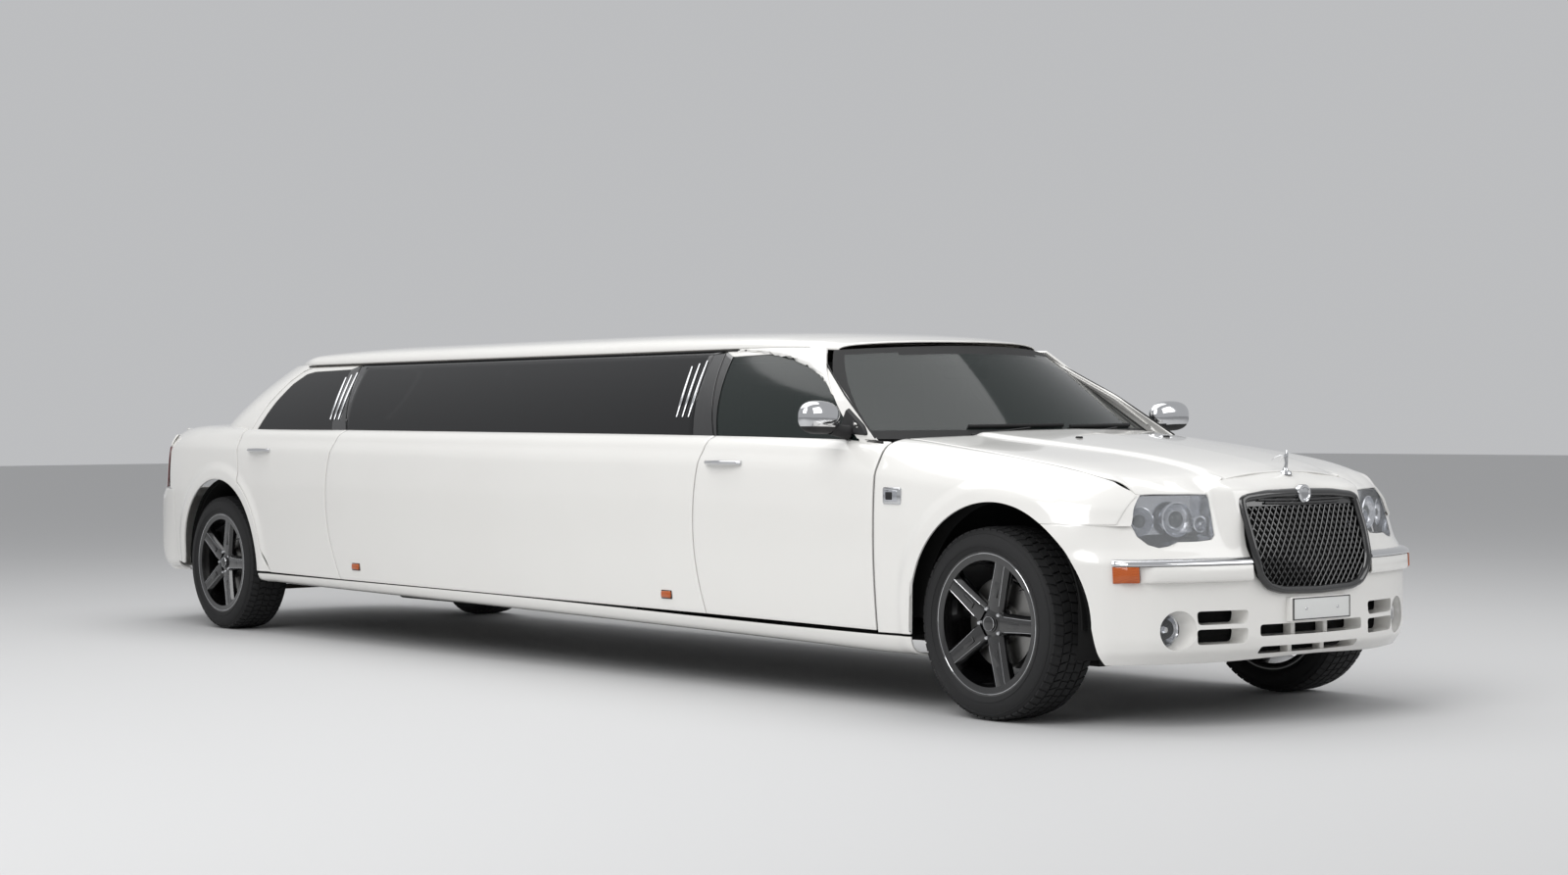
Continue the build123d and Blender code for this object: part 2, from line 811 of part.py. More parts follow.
def wheel():
    # Right hand wheel about the Y axis, outer face towards -Y.
    rim = outline(
        (rim_barrel_radius, -rim_half_width),
        (rim_lip_radius, -rim_half_width),
        (rim_lip_radius, -rim_half_width + 9),
        (rim_seat_radius, -rim_half_width + 10),
        (rim_seat_radius, rim_half_width - 10),
        (rim_lip_radius, rim_half_width - 9),
        (rim_lip_radius, rim_half_width),
        (rim_barrel_radius, rim_half_width),
    )
    body = revolve(rim, Axis.Y)
    face = -rim_half_width + spoke_inset
    spoke = outline(
        (30, -spoke_root_width / 2),
        (rim_barrel_radius + 4, -spoke_tip_width / 2),
        (rim_barrel_radius + 4, spoke_tip_width / 2),
        (30, spoke_root_width / 2),
    )
    spoke = extrude(Plane.XZ.offset(-face - spoke_thickness) * spoke, amount=spoke_thickness)
    for number in range(spoke_count):
        body += Rot(0, 90 + number * 360 / spoke_count, 0) * spoke
    hub = Rot(90, 0, 0) * Cylinder(wheel_hub_radius, wheel_hub_depth)
    body += Pos(0, face + wheel_hub_depth / 2, 0) * hub
    disc = Pos(0, face + wheel_hub_depth, 0) * Rot(90, 0, 0) * Cylinder(disc_radius, disc_thickness)
    body += disc
    bore = Rot(90, 0, 0) * Cylinder(hub_bore_radius, 200)
    return body - Pos(0, face + 28 + 100, 0) * bore


def knuckle():
    # Right hand steering knuckle: upright, stub axle and steering arm.
    inner_face = -(wheel_y + rim_half_width - spoke_inset - wheel_hub_depth - disc_thickness / 2)
    upright_y = inner_face + 8
    flange_end = -kingpin_half - 15
    flange = Rot(90, 0, 0) * Cylinder(stub_flange_radius, flange_end - upright_y)
    body = Pos(0, (upright_y + flange_end) / 2, 0) * flange
    stub = Rot(90, 0, 0) * Cylinder(hub_bore_radius - running_fit, stub_length)
    body += Pos(0, upright_y - stub_length / 2, 0) * stub
    web = block(-32, 32, -kingpin_half - 20, -kingpin_half + 20, -150, 150)
    body += web
    body += block(-150, 0, -kingpin_half + 2, -kingpin_half + 22, -14, 14)
    bore = Pos(0, -kingpin_half, -150) * Cylinder(ball_pin_radius + running_fit, 60)
    body = body - bore
    return body.moved(Location((front(0), 0, axle_z)))


def make_front_subframe():
    parts = block(front(-90), front(90), -400, 400, 178, 250)
    for sign in (-1, 1):
        low, high = sorted((sign * 330, sign * 410))
        parts += block(front(-570), front(540), low, high, 262, 322)
        parts += block(front(-60), front(60), low, high, 245, 265)
        low, high = sorted((sign * 380, sign * (kingpin_half + 16)))
        parts += block(front(-24), front(24), low, high, 186, 206)
        pin = Cylinder(ball_pin_radius, 34)
        parts += Pos(front(0), sign * kingpin_half, 221) * pin
    return parts


def make_rear_axle():
    # Final drive, half shafts, hub carriers and lower arms.
    parts = Pos(rear(0), 0, axle_z) * Rot(90, 0, 0) * Cylinder(120, 260)
    parts += block(rear(-60), rear(130), -70, 70, axle_z - 90, axle_z + 45)
    parts += Pos(rear(0), 0, axle_z) * Rot(90, 0, 0) * Cylinder(28, 1380)
    for sign in (-1, 1):
        inner = wheel_y + rim_half_width - spoke_inset - wheel_hub_depth - disc_thickness / 2
        carrier = Rot(90, 0, 0) * Cylinder(70, 40)
        parts += Pos(rear(0), sign * (inner - 28), axle_z) * carrier
        stub = Rot(90, 0, 0) * Cylinder(hub_bore_radius - running_fit, stub_length)
        parts += Pos(rear(0), sign * (inner - 8 + stub_length / 2), axle_z) * stub
        low, high = sorted((sign * 80, sign * (inner - 16)))
        parts += block(rear(-40), rear(40), low, high, 205, 228)
        low, high = sorted((sign * (inner - 46), sign * (inner - 16)))
        parts += block(rear(-30), rear(30), low, high, 205, axle_z)
    parts += block(rear(-60), rear(60), -100, 100, 205, 300)
    return parts


def make_drive_shaft():
    length = front(-422) - rear(132)
    return Pos((front(-422) + rear(132)) / 2, 0, 308) * Rot(0, 90, 0) * Cylinder(38, length)


def make_exhaust():
    pieces = []
    for sign in (-1, 1):
        length = front(-900) - rear(400)
        pipe = Pos((front(-900) + rear(400)) / 2, sign * 180, 222) * Rot(0, 90, 0) * Cylinder(30, length)
        box = rounded_block(30, rear(800), rear(1500), sign * 180 - 100, sign * 180 + 100, 180, 256)
        pieces += list((pipe + box).solids())
        tail = rounded_block(30, rear(-900), rear(-560), sign * 470 - 100, sign * 470 + 100, 240, 380)
        tip = Pos(rear(-960), sign * 470, 280) * Rot(0, 90, 0) * Cylinder(34, 180)
        pieces += list((tail + tip).solids())
    return Compound(pieces)


def make_engine():
    return rounded_block(20, front(-420), front(250), -280, 280, 330, 850)


def make_radiator():
    return rounded_block(8, front(560), front(600), -380, 380, 330, 820)


def make_dashboard():
    side = outline(
        (front(-800), 1020), (front(-960), 1000), (front(-1000), 930),
        (front(-960), 760), (front(-800), 700),
    )
    return extrude(Plane.XZ.offset(-760) * side, amount=1520)


def make_steering_wheel():
    ring = Torus(185, 15)
    ring += Cylinder(16, 20) + Box(40, 360, 14) + Cylinder(60, 34)
    column = Pos(0, 0, 60) * Cylinder(22, 100)
    place = Location((front(-1120), -380, 905), (0, 68, 0))
    return (ring + column).moved(place)


def make_front_seats():
    seats = []
    for y in (-385, 385):
        cushion = rounded_block(40, front(-1760), front(-1220), y - 250, y + 250, 330, 540)
        base = block(front(-1700), front(-1300), y - 200, y + 200, floor_bottom + floor_wall, 360)
        rest = rounded_block(40, -70, 70, y - 240, y + 240, 0, 620)
        rest = rest.moved(Location((front(-1800), 0, 500), (0, -14, 0)))
        head = rounded_block(30, front(-1990), front(-1900), y - 130, y + 130, 1110, 1290)
        post = block(front(-1960), front(-1930), y - 60, y + 60, 1060, 1130)
        seats += list((cushion + base + rest + head + post).solids())
    return Compound(seats)


def make_lounge_seats():
    # Rear bench across the car and a long bench down the left side.
    bench = rounded_block(40, rear(kick_up + 2), rear(660), -600, 600, tunnel_top + 2, 600)
    back = rounded_block(40, rear(-120), rear(kick_up + 60), -600, 600, axle_floor + panel_wall, 1080)
    side = rounded_block(40, rear(1400), front(-2300), 300, 770, floor_bottom + floor_wall, 600)
    rest = rounded_block(40, rear(1400), front(-2300), 650, 770, 560, 1040)
    return Compound(list((bench + back).solids()) + list((side + rest).solids()))


def make_bar():
    body = block(rear(1700), front(-2400), -780, -480, floor_bottom + floor_wall, 760)
    shelf = block(rear(1680), front(-2380), -790, -460, 760, 790)
    return body + shelf


def make_partition():
    wall = block(front(-2120), front(-2080), -770, 770, floor_bottom + floor_wall, 1100)
    notch = tunnel_half + 2
    return wall - block(front(-2200), front(-2000), -notch, notch, 0, tunnel_top + 2)


def make_mirror():
    # Right hand door mirror on its sail shaped foot.
    head = rounded_block(26, front(-900), front(-800), -1105, -915, 1075, 1212)
    stalk = block(front(-870), front(-820), -930, -885, 1082, 1120)
    foot = block(front(-900), front(-790), -890, -868, 1082, 1130)
    return head + stalk + foot


# Wiper arms. Columns: pivot x from the front axle, pivot y, tip x, tip y.
wiper_places = [(-512, -430, -486, 0), (-465, 40, -556, 540)]
wiper_z = 1070
wiper_pivot_radius = 11


def make_wipers():
    # Two arms parked along the foot of the windscreen.
    arms = []
    for x_pivot, y_pivot, x_tip, y_tip in wiper_places:
        reach = hypot(x_tip - x_pivot, y_tip - y_pivot)
        turn = degrees(atan2(y_tip - y_pivot, x_tip - x_pivot))
        centre = (front((x_pivot + x_tip) / 2), (y_pivot + y_tip) / 2, wiper_z)
        arm = Pos(*centre) * Rot(0, 0, turn) * Box(reach, 12, 10)
        pivot = Pos(front(x_pivot), y_pivot, wiper_z - 18) * Cylinder(wiper_pivot_radius, 36)
        arms += list((pivot + arm).solids())
    return Compound(arms)


def make_mascot():
    # Plain fin shaped hood ornament on a round foot.
    foot = Cylinder(24, 14)
    fin = extrude(Plane.XZ.offset(-5) * outline((-26, 0), (20, 0), ((12, 34), (-30, 60))), amount=10)
    standing = (foot + fin).moved(Location((front(655), 0, 938)))
    return standing - nose_solid.moved(Location((0, 0, ornament_gap)))


def write(name, shape):
    export_step(Compound(list(shape.solids())), f"parts/{name}.step")


def main():
    write("hood", make_hood())
    write("front_fenders", make_front_fenders())
    write("headlamps", make_headlamps())
    write("grille", make_grille())
    write("front_bumper", make_front_bumper())
    write("fog_lamps", make_fog_lamps())
    write("rear_bumper", make_rear_bumper())
    write("boot_lid", make_boot_lid())
    write("tail_lamps", make_tail_lamps())
    write("quarter_panels", make_quarters())
    write("side_panels", make_side_panels())
    write("sills", make_sills())
    write("roof_panel", make_roof())
    write("screen_frame", make_screen_frame())
    write("windscreen", make_windscreen())
    write("rear_window", make_rear_window())
    write("side_windows", both_sides(side_pane(stretch_glass)))
    write("cowl", make_cowl())
    write("floor_pan", make_floor())
    write("boot_floor", make_boot_floor())
    write("arch_liners", make_arch_liners())
    write("front_subframe", make_front_subframe())
    write("rear_axle", make_rear_axle())
    write("drive_shaft", make_drive_shaft())
    write("exhaust", make_exhaust())
    write("engine_block", make_engine())
    write("radiator", make_radiator())
    write("dashboard", make_dashboard())
    write("steering_wheel", make_steering_wheel())
    write("front_seats", make_front_seats())
    write("lounge_seats", make_lounge_seats())
    write("bar_console", make_bar())
    write("partition", make_partition())
    write("wipers", make_wipers())
    write("hood_ornament", make_mascot())

    handed = [
        ("door_front", make_front_door()),
        ("door_rear", make_rear_door()),
        ("glass_front", side_pane(front_door_glass)),
        ("glass_rear", side_pane(rear_door_glass)),
        ("mirror", make_mirror()),
        ("knuckle", knuckle()),
    ]
    for name, shape in handed:
        write(f"{name}_right", shape)
        write(f"{name}_left", left_of(shape))

    right_wheel = wheel()
    for end, x in (("front", front(0)), ("rear", rear(0))):
        place = Location((x, -wheel_y, axle_z))
        rim = right_wheel.moved(place)
        ring = tyre(-wheel_y).moved(Location((x, 0, 0)))
        write(f"wheel_{end}_right", rim)
        write(f"wheel_{end}_left", left_of(rim))
        write(f"tyre_{end}_right", ring)
        write(f"tyre_{end}_left", left_of(ring))


main()
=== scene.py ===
import math
import bmesh
import bpy
import numpy as np
from mathutils import Matrix, Vector


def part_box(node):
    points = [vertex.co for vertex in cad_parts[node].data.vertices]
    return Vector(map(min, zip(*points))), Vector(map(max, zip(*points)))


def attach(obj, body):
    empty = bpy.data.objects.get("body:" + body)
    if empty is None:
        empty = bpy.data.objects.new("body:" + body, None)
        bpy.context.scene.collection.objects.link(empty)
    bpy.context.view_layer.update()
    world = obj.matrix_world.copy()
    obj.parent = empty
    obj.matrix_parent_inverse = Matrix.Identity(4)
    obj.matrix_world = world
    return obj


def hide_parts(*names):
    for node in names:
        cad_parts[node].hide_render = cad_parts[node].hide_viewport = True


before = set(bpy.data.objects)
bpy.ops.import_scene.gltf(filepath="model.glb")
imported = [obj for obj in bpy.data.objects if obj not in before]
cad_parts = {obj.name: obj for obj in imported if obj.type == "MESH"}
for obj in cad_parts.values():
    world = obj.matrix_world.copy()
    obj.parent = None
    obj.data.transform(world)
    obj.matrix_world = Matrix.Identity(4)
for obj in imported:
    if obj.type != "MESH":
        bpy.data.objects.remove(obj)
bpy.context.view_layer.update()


# Places taken from the frame: wheel centres and axles

def centreOf(node):
    low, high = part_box(node)
    return (low + high) / 2


frontAxle = centreOf("tyre_front_right").x
rearAxle = centreOf("tyre_rear_right").x
axleHeight = centreOf("tyre_front_right").z
wheelHalf = abs(centreOf("tyre_front_right").y)


def atFront(x):
    return frontAxle + x


def atRear(x):
    return rearAxle + x


# Curves and surfaces

def smooth(low, high, value):
    t = np.clip((np.asarray(value, float) - low) / (high - low), 0, 1)
    return t * t * (3 - 2 * t)


def curveThrough(xs, ys):
    # Monotone cubic through rows of values, xs rising
    xs, ys = np.asarray(xs, float), np.asarray(ys, float)
    step = np.diff(xs)
    slope = np.diff(ys, axis=0) / step.reshape((-1,) + (1,) * (ys.ndim - 1))
    tangent = np.zeros_like(ys)
    tangent[0], tangent[-1] = slope[0], slope[-1]
    before, after = slope[:-1], slope[1:]
    same = before * after > 0
    mean = np.where(same, 2 * before * after / np.where(same, before + after, 1), 0)
    tangent[1:-1] = mean

    def evaluate(value):
        value = np.asarray(value, float)
        place = np.clip(np.searchsorted(xs, value) - 1, 0, len(xs) - 2)
        width = step[place]
        t = (value - xs[place]) / width
        shape = value.shape + (1,) * (ys.ndim - 1)
        t, width = t.reshape(shape), width.reshape(shape)
        h00, h10 = 2 * t**3 - 3 * t**2 + 1, t**3 - 2 * t**2 + t
        h01, h11 = -2 * t**3 + 3 * t**2, t**3 - t**2
        return (h00 * ys[place] + h10 * width * tangent[place]
                + h01 * ys[place + 1] + h11 * width * tangent[place + 1])
    return evaluate


def splineWeights(count, values):
    # Weights of a clamped cubic B-spline with count control points
    degree = 3
    inner = np.arange(1, count - degree) / (count - degree)
    knots = np.concatenate([np.zeros(degree + 1), inner, np.ones(degree + 1)])
    values = np.clip(np.asarray(values, float), 0, 1 - 1e-9)
    basis = [(values >= knots[i]) & (values < knots[i + 1]) for i in range(len(knots) - 1)]
    basis = [b.astype(float) for b in basis]
    for level in range(1, degree + 1):
        row = []
        for i in range(len(knots) - 1 - level):
            left, right = knots[i + level] - knots[i], knots[i + level + 1] - knots[i + 1]
            value = np.zeros_like(values)
            if left > 0:
                value = value + (values - knots[i]) / left * basis[i]
            if right > 0:
                value = value + (knots[i + level + 1] - values) / right * basis[i + 1]
            row.append(value)
        basis = row
    return np.stack(basis, axis=-1)


# Body stations: x, widest half, sill height, under height, then half and height
# of the shoulder, of the fall above it and of the edge, then the crown height
bodyStations = [
    (atRear(-1.04), 0.800, 0.40, 0.34, 0.770, 0.960, 0.745, 1.010, 0.640, 1.062, 1.100),
    (atRear(-0.85), 0.862, 0.39, 0.33, 0.838, 0.972, 0.812, 1.026, 0.715, 1.082, 1.128),
    (atRear(-0.60), 0.908, 0.37, 0.31, 0.886, 0.982, 0.862, 1.040, 0.780, 1.098, 1.145),
    (atRear(-0.35), 0.930, 0.355, 0.30, 0.912, 0.988, 0.888, 1.048, 0.815, 1.104, 1.150),
    (atRear(0.0), 0.941, 0.34, 0.285, 0.930, 0.990, 0.905, 1.050, 0.850, 1.104, 1.150),
    (atRear(0.40), 0.943, 0.333, 0.275, 0.935, 0.990, 0.911, 1.048, 0.876, 1.096, 1.140),
    (atRear(0.95), 0.943, 0.329, 0.268, 0.936, 0.988, 0.913, 1.042, 0.884, 1.090, 1.120),
    (atFront(-3.4), 0.943, 0.318, 0.250, 0.936, 0.974, 0.913, 1.028, 0.884, 1.076, 1.110),
    (atFront(-1.9), 0.943, 0.305, 0.232, 0.936, 0.960, 0.913, 1.014, 0.884, 1.064, 1.100),
    (atFront(-1.1), 0.943, 0.300, 0.220, 0.935, 0.942, 0.911, 0.998, 0.880, 1.050, 1.098),
    (atFront(-0.60), 0.943, 0.296, 0.212, 0.933, 0.915, 0.906, 0.975, 0.852, 1.038, 1.090),
    (atFront(-0.30), 0.943, 0.297, 0.215, 0.931, 0.884, 0.900, 0.948, 0.818, 1.012, 1.062),
    (atFront(0.0), 0.943, 0.300, 0.220, 0.929, 0.856, 0.894, 0.920, 0.792, 0.980, 1.028),
    (atFront(0.25), 0.938, 0.303, 0.226, 0.915, 0.830, 0.874, 0.892, 0.768, 0.946, 0.998),
    (atFront(0.45), 0.902, 0.307, 0.232, 0.848, 0.800, 0.796, 0.860, 0.718, 0.906, 0.966),
    (atFront(0.60), 0.790, 0.310, 0.238, 0.680, 0.782, 0.640, 0.832, 0.590, 0.868, 0.936),
    (atFront(0.76), 0.480, 0.312, 0.242, 0.360, 0.772, 0.340, 0.812, 0.310, 0.850, 0.900),
]


def stationControls(row):
    widest, sill, under, shoulder, shoulderZ, fall, fallZ, edge, edgeZ, crown = row[1:]
    rise = crown - edgeZ
    return [
        (widest - 0.15, under), (widest - 0.05, under + 0.002), (widest - 0.022, sill - 0.030),
        (widest - 0.020, sill + 0.004), (widest - 0.010, sill + 0.10), (widest + 0.003, 0.60),
        (widest + 0.001, shoulderZ - 0.13), (shoulder + 0.004, shoulderZ - 0.018),
        (shoulder, shoulderZ + 0.010), (fall, fallZ), (edge + 0.030, edgeZ - 0.018),
        (edge - 0.03, edgeZ + 0.018), (edge * 0.68, edgeZ + rise * 0.55),
        (edge * 0.34, edgeZ + rise * 0.93), (0.0, crown),
    ]


stationX = [row[0] for row in bodyStations]
stationRows = np.array([stationControls(row) for row in bodyStations])
controlsAt = curveThrough(stationX, stationRows)
controlCount = stationRows.shape[1]

# Wheel arches: centre x and z, radius, and how far the lip stands out
arches = {
    "front": dict(x=atFront(0.06), z=0.372, radius=0.450, flare=0.012),
    "rear": dict(x=atRear(0.022), z=0.390, radius=0.434, flare=0.012),
}


def archFlare(x, z):
    total = 0
    for arch in arches.values():
        away = np.hypot(x - arch["x"], z - arch["z"]) - arch["radius"]
        total = total + arch["flare"] * (1 - smooth(0.045, 0.10, away)) * smooth(-0.3, 0, away)
    return total


def bodyPoint(x, s):
    # Right half of the body at length x and section place s, as half width and height
    x, s = np.broadcast_arrays(np.asarray(x, float), np.asarray(s, float))
    controls = controlsAt(x)
    weights = splineWeights(controlCount, s)
    both = (controls * weights[..., None]).sum(axis=-2)
    return both[..., 0], both[..., 1]


def placeAtHeight(x, z):
    x, z = np.broadcast_arrays(np.asarray(x, float), np.asarray(z, float))
    low, high = np.full(x.shape, 0.02), np.full(x.shape, 0.80)
    for _ in range(40):
        mid = (low + high) / 2
        under = bodyPoint(x, mid)[1] < z
        low, high = np.where(under, mid, low), np.where(under, high, mid)
    return (low + high) / 2


def placeAtHalf(x, y):
    x, y = np.broadcast_arrays(np.asarray(x, float), np.asarray(y, float))
    low, high = np.full(x.shape, 0.50), np.full(x.shape, 1.0)
    for _ in range(40):
        mid = (low + high) / 2
        outside = bodyPoint(x, mid)[0] > y
        low, high = np.where(outside, mid, low), np.where(outside, high, mid)
    return (low + high) / 2


def sideSkin(x, z):
    y = bodyPoint(x, placeAtHeight(x, z))[0]
    return np.stack(np.broadcast_arrays(x, -(y + archFlare(x, z)), z), axis=-1)


def hoodCrease(x):
    return 0.335 + 0.15 * smooth(atFront(0.62), atFront(-0.60), np.asarray(x, float))


# Front edge of the hood: half width, x from the front axle and height
hoodEdge = curveThrough(
    [0.0, 0.15, 0.28, 0.35, 0.395, 0.425, 0.56, 0.680],
    [(0.664, 0.930), (0.662, 0.925), (0.656, 0.911), (0.652, 0.896), (0.656, 0.872),
     (0.663, 0.852), (0.620, 0.850), (0.556, 0.851)])


def topSkin(x, y):
    half = np.abs(y)
    z = bodyPoint(x, placeAtHalf(x, half))[1]
    raised = 0.012 * (1 - smooth(-0.02, 0.02, half - hoodCrease(x)))
    onHood = smooth(atFront(-0.66), atFront(-0.45), x)
    z = z + raised * onHood
    # The last stretch comes down to meet the lamps and the grille's surround
    edge = hoodEdge(np.clip(half, 0, 0.68))
    edgeX = atFront(edge[..., 0])
    edgeRise = bodyPoint(edgeX, placeAtHalf(edgeX, half))[1] + 0.012 * (half < 0.33)
    near = smooth(-0.13, 0.0, x - edgeX)
    z = z + (edge[..., 1] - edgeRise) * near * (x > atFront(0.2))
    return np.stack(np.broadcast_arrays(x, y, z), axis=-1)


def sectionSkin(x, s):
    y, z = bodyPoint(x, s)
    return np.stack(np.broadcast_arrays(x, -(y + archFlare(x, z)), z), axis=-1)


# Glasshouse: side surface over x and z, screens over y and z, roof over x and y

def houseHalf(x, z):
    base = curveThrough(
        [atRear(-0.75), atRear(-0.40), atRear(0.2), atRear(1.0), atFront(-1.9), atFront(-0.70)],
        [0.770, 0.828, 0.868, 0.872, 0.868, 0.862])(x)
    lean = curveThrough(
        [atRear(-0.75), atRear(-0.1), atRear(0.4), atFront(-1.9), atFront(-0.9)],
        [0.56, 0.60, 0.625, 0.625, 0.615])(x)
    up = np.asarray(z, float) - 1.05
    # The rear pillars turn inwards behind this place
    turn = np.maximum(atRear(-0.025 + 1.30 * up) - np.asarray(x, float), 0)
    return base - lean * up + 0.030 * up * (0.38 - up) / 0.0361 - 0.60 * turn**1.6


def houseSkin(x, z):
    return np.stack(np.broadcast_arrays(x, -houseHalf(x, z), z), axis=-1)


def screenX(y, z):
    t = (np.asarray(z, float) - 1.06) / 0.36
    centre = -0.520 - 0.465 * t + 0.010 * t * (1 - t) * 4
    bow = 0.397 + 0.26 * t
    return atFront(centre - bow * np.asarray(y, float) ** 2)


def backX(y, z):
    t = (np.asarray(z, float) - 1.13) / 0.32
    centre = -0.640 + 0.560 * t - 0.012 * t * (1 - t) * 4
    bow = 0.30 + 0.14 * t
    return atRear(centre + bow * np.asarray(y, float) ** 2)


roofCrown = curveThrough(
    [atRear(-0.14), atRear(0.10), atRear(0.5), atRear(1.3), atFront(-2.7), atFront(-1.7), atFront(-1.25),
     atFront(-0.96)],
    [1.452, 1.489, 1.518, 1.534, 1.532, 1.512, 1.487, 1.452])
roofHalf = curveThrough(
    [atRear(-0.14), atRear(0.10), atRear(0.30), atRear(0.5), atFront(-1.9), atFront(-1.3), atFront(-0.96)],
    [0.372, 0.505, 0.590, 0.630, 0.630, 0.622, 0.560])
roofEdge = curveThrough(
    [atRear(-0.14), atRear(0.12), atRear(0.6), atFront(-1.9), atFront(-1.35), atFront(-0.96)],
    [1.420, 1.434, 1.440, 1.440, 1.434, 1.418])


def roofSkin(x, v):
    # v runs from the gutter, 0, to the centre line, 1
    crown, half, edge = roofCrown(x), roofHalf(x), roofEdge(x)
    weights = splineWeights(7, v)
    ys = [half, half + 0.002, half - 0.018, half - 0.075, half * 0.66, half * 0.33, half * 0]
    rise = crown - edge
    zs = [edge, edge + rise * 0.20, edge + rise * 0.52, edge + rise * 0.72,
          edge + rise * 0.92, crown, crown]
    y = sum(weights[..., i] * ys[i] for i in range(7))
    z = sum(weights[..., i] * zs[i] for i in range(7))
    return np.stack(np.broadcast_arrays(x, -y, z), axis=-1)


# Plan curves of the two ends. t runs from the side, 0, to the centre line, 1

def planCurve(points):
    points = np.array(points)
    lengths = np.concatenate([[0], np.cumsum(np.hypot(*np.diff(points, axis=0).T))])
    return curveThrough(lengths / lengths[-1], points)


nosePlan = planCurve([
    (0.20, 0.940), (0.34, 0.929), (0.46, 0.898), (0.55, 0.845), (0.60, 0.790), (0.66, 0.710),
    (0.71, 0.600), (0.753, 0.470), (0.785, 0.340), (0.812, 0.180), (0.826, 0.0)])
tailPlan = planCurve([
    (-0.50, 0.917), (-0.66, 0.896), (-0.80, 0.862), (-0.90, 0.810), (-0.97, 0.730), (-1.02, 0.600),
    (-1.060, 0.420), (-1.085, 0.210), (-1.093, 0.0)])
noseBack = curveThrough(
    [0.20, 0.25, 0.29, 0.34, 0.50, 0.60, 0.66, 0.72, 0.80, 0.862, 0.90, 0.925, 0.96],
    [0.085, 0.040, 0.010, 0.0, 0.0, 0.006, 0.032, 0.052, 0.070, 0.084, 0.118, 0.160, 0.26])
noseIn = curveThrough([0.20, 0.60, 0.66, 0.75, 0.80, 0.88, 0.95],
                      [0.0, 0.0, 0.025, 0.042, 0.055, 0.075, 0.09])
tailBack = curveThrough(
    [0.28, 0.33, 0.38, 0.46, 0.60, 0.70, 0.74, 0.78, 0.95, 1.03, 1.09, 1.14],
    [0.150, 0.070, 0.020, 0.0, 0.0, 0.006, 0.030, 0.062, 0.100, 0.130, 0.170, 0.23])


def noseSkin(t, z):
    spot = nosePlan(t)
    x, y = spot[..., 0], spot[..., 1]
    x = x - noseBack(z) * smooth(0.0, 0.45, t)
    y = y - noseIn(z) * smooth(0.05, 0.40, t) * (1 - smooth(0.75, 1.0, t))
    side = bodyPoint(atFront(x), placeAtHeight(atFront(x), z))[0] + archFlare(atFront(x), z)
    mix = smooth(0.30, 0.50, x)
    y = (1 - mix) * side + mix * y
    # The grille's surround stands ahead of the lamps
    x = x + (0.040 * smooth(0.08, 0.32, y) * (1 - smooth(0.350, 0.415, y))
             * smooth(0.58, 0.80, z) * (1 - smooth(0.86, 0.91, z)))
    return np.stack(np.broadcast_arrays(atFront(x), -y, z), axis=-1)


def tailSkin(t, z):
    spot = tailPlan(t)
    x, y = spot[..., 0], spot[..., 1]
    x = x + tailBack(z) * smooth(0.08, 0.30, t)
    side = bodyPoint(atRear(x), placeAtHeight(atRear(x), z))[0] + archFlare(atRear(x), z)
    mix = smooth(-0.55, -0.80, x)
    y = (1 - mix) * side + mix * y
    return np.stack(np.broadcast_arrays(atRear(x), -y, z), axis=-1)


# Mesh helpers

def linked(name, data):
    piece = bpy.data.objects.new(name, data)
    bpy.context.scene.collection.objects.link(piece)
    return piece


def discard(piece):
    # Takes an object and its mesh out of the file
    old = piece.data
    bpy.data.objects.remove(piece)
    if old.users == 0:
        bpy.data.meshes.remove(old)


def makeObject(name, verts, faces, materials=()):
    mesh = bpy.data.meshes.new(name)
    mesh.from_pydata([tuple(map(float, v)) for v in verts], [], [tuple(f) for f in faces])
    for material in materials:
        mesh.materials.append(material)
    mesh.update()
    return linked(name, mesh)


def fromWork(name, work, materials):
    # An object from a finished bmesh, which is freed
    mesh = bpy.data.meshes.new(name)
    work.to_mesh(mesh)
    work.free()
    for material in materials:
        mesh.materials.append(material)
    return linked(name, mesh)


def sliceAcross(work, axis, place):
    # Cuts all faces of a bmesh by the plane across one axis
    spot, normal = [0, 0, 0], [0, 0, 0]
    spot[axis], normal[axis] = place, 1
    bmesh.ops.bisect_plane(work, geom=[*work.verts, *work.edges, *work.faces],
                           plane_co=spot, plane_no=normal)


def addModifier(piece, kind, **settings):
    modifier = piece.modifiers.new(kind.title(), kind)
    for key, value in settings.items():
        setattr(modifier, key, value)
    return modifier


def applyModifiers(piece):
    graph = bpy.context.evaluated_depsgraph_get()
    mesh = bpy.data.meshes.new_from_object(piece.evaluated_get(graph), depsgraph=graph)
    piece.modifiers.clear()
    old = piece.data
    piece.data = mesh
    mesh.name = piece.name
    bpy.data.meshes.remove(old)
    return piece


def shade(piece, angle=35):
    # Smooth faces with hard edges where they turn by more than the angle
    mesh = piece.data
    mesh.polygons.foreach_set("use_smooth", [True] * len(mesh.polygons))
    work = bmesh.new()
    work.from_mesh(mesh)
    limit = math.radians(angle)
    for edge in work.edges:
        edge.smooth = len(edge.link_faces) == 2 and edge.calc_face_angle(3.0) < limit
    work.to_mesh(mesh)
    work.free()
    return piece


def cleanMesh(piece, merge=0.00002):
    work = bmesh.new()
    work.from_mesh(piece.data)
    bmesh.ops.remove_doubles(work, verts=work.verts, dist=merge)
    bmesh.ops.recalc_face_normals(work, faces=work.faces)
    work.to_mesh(piece.data)
    work.free()
    return piece


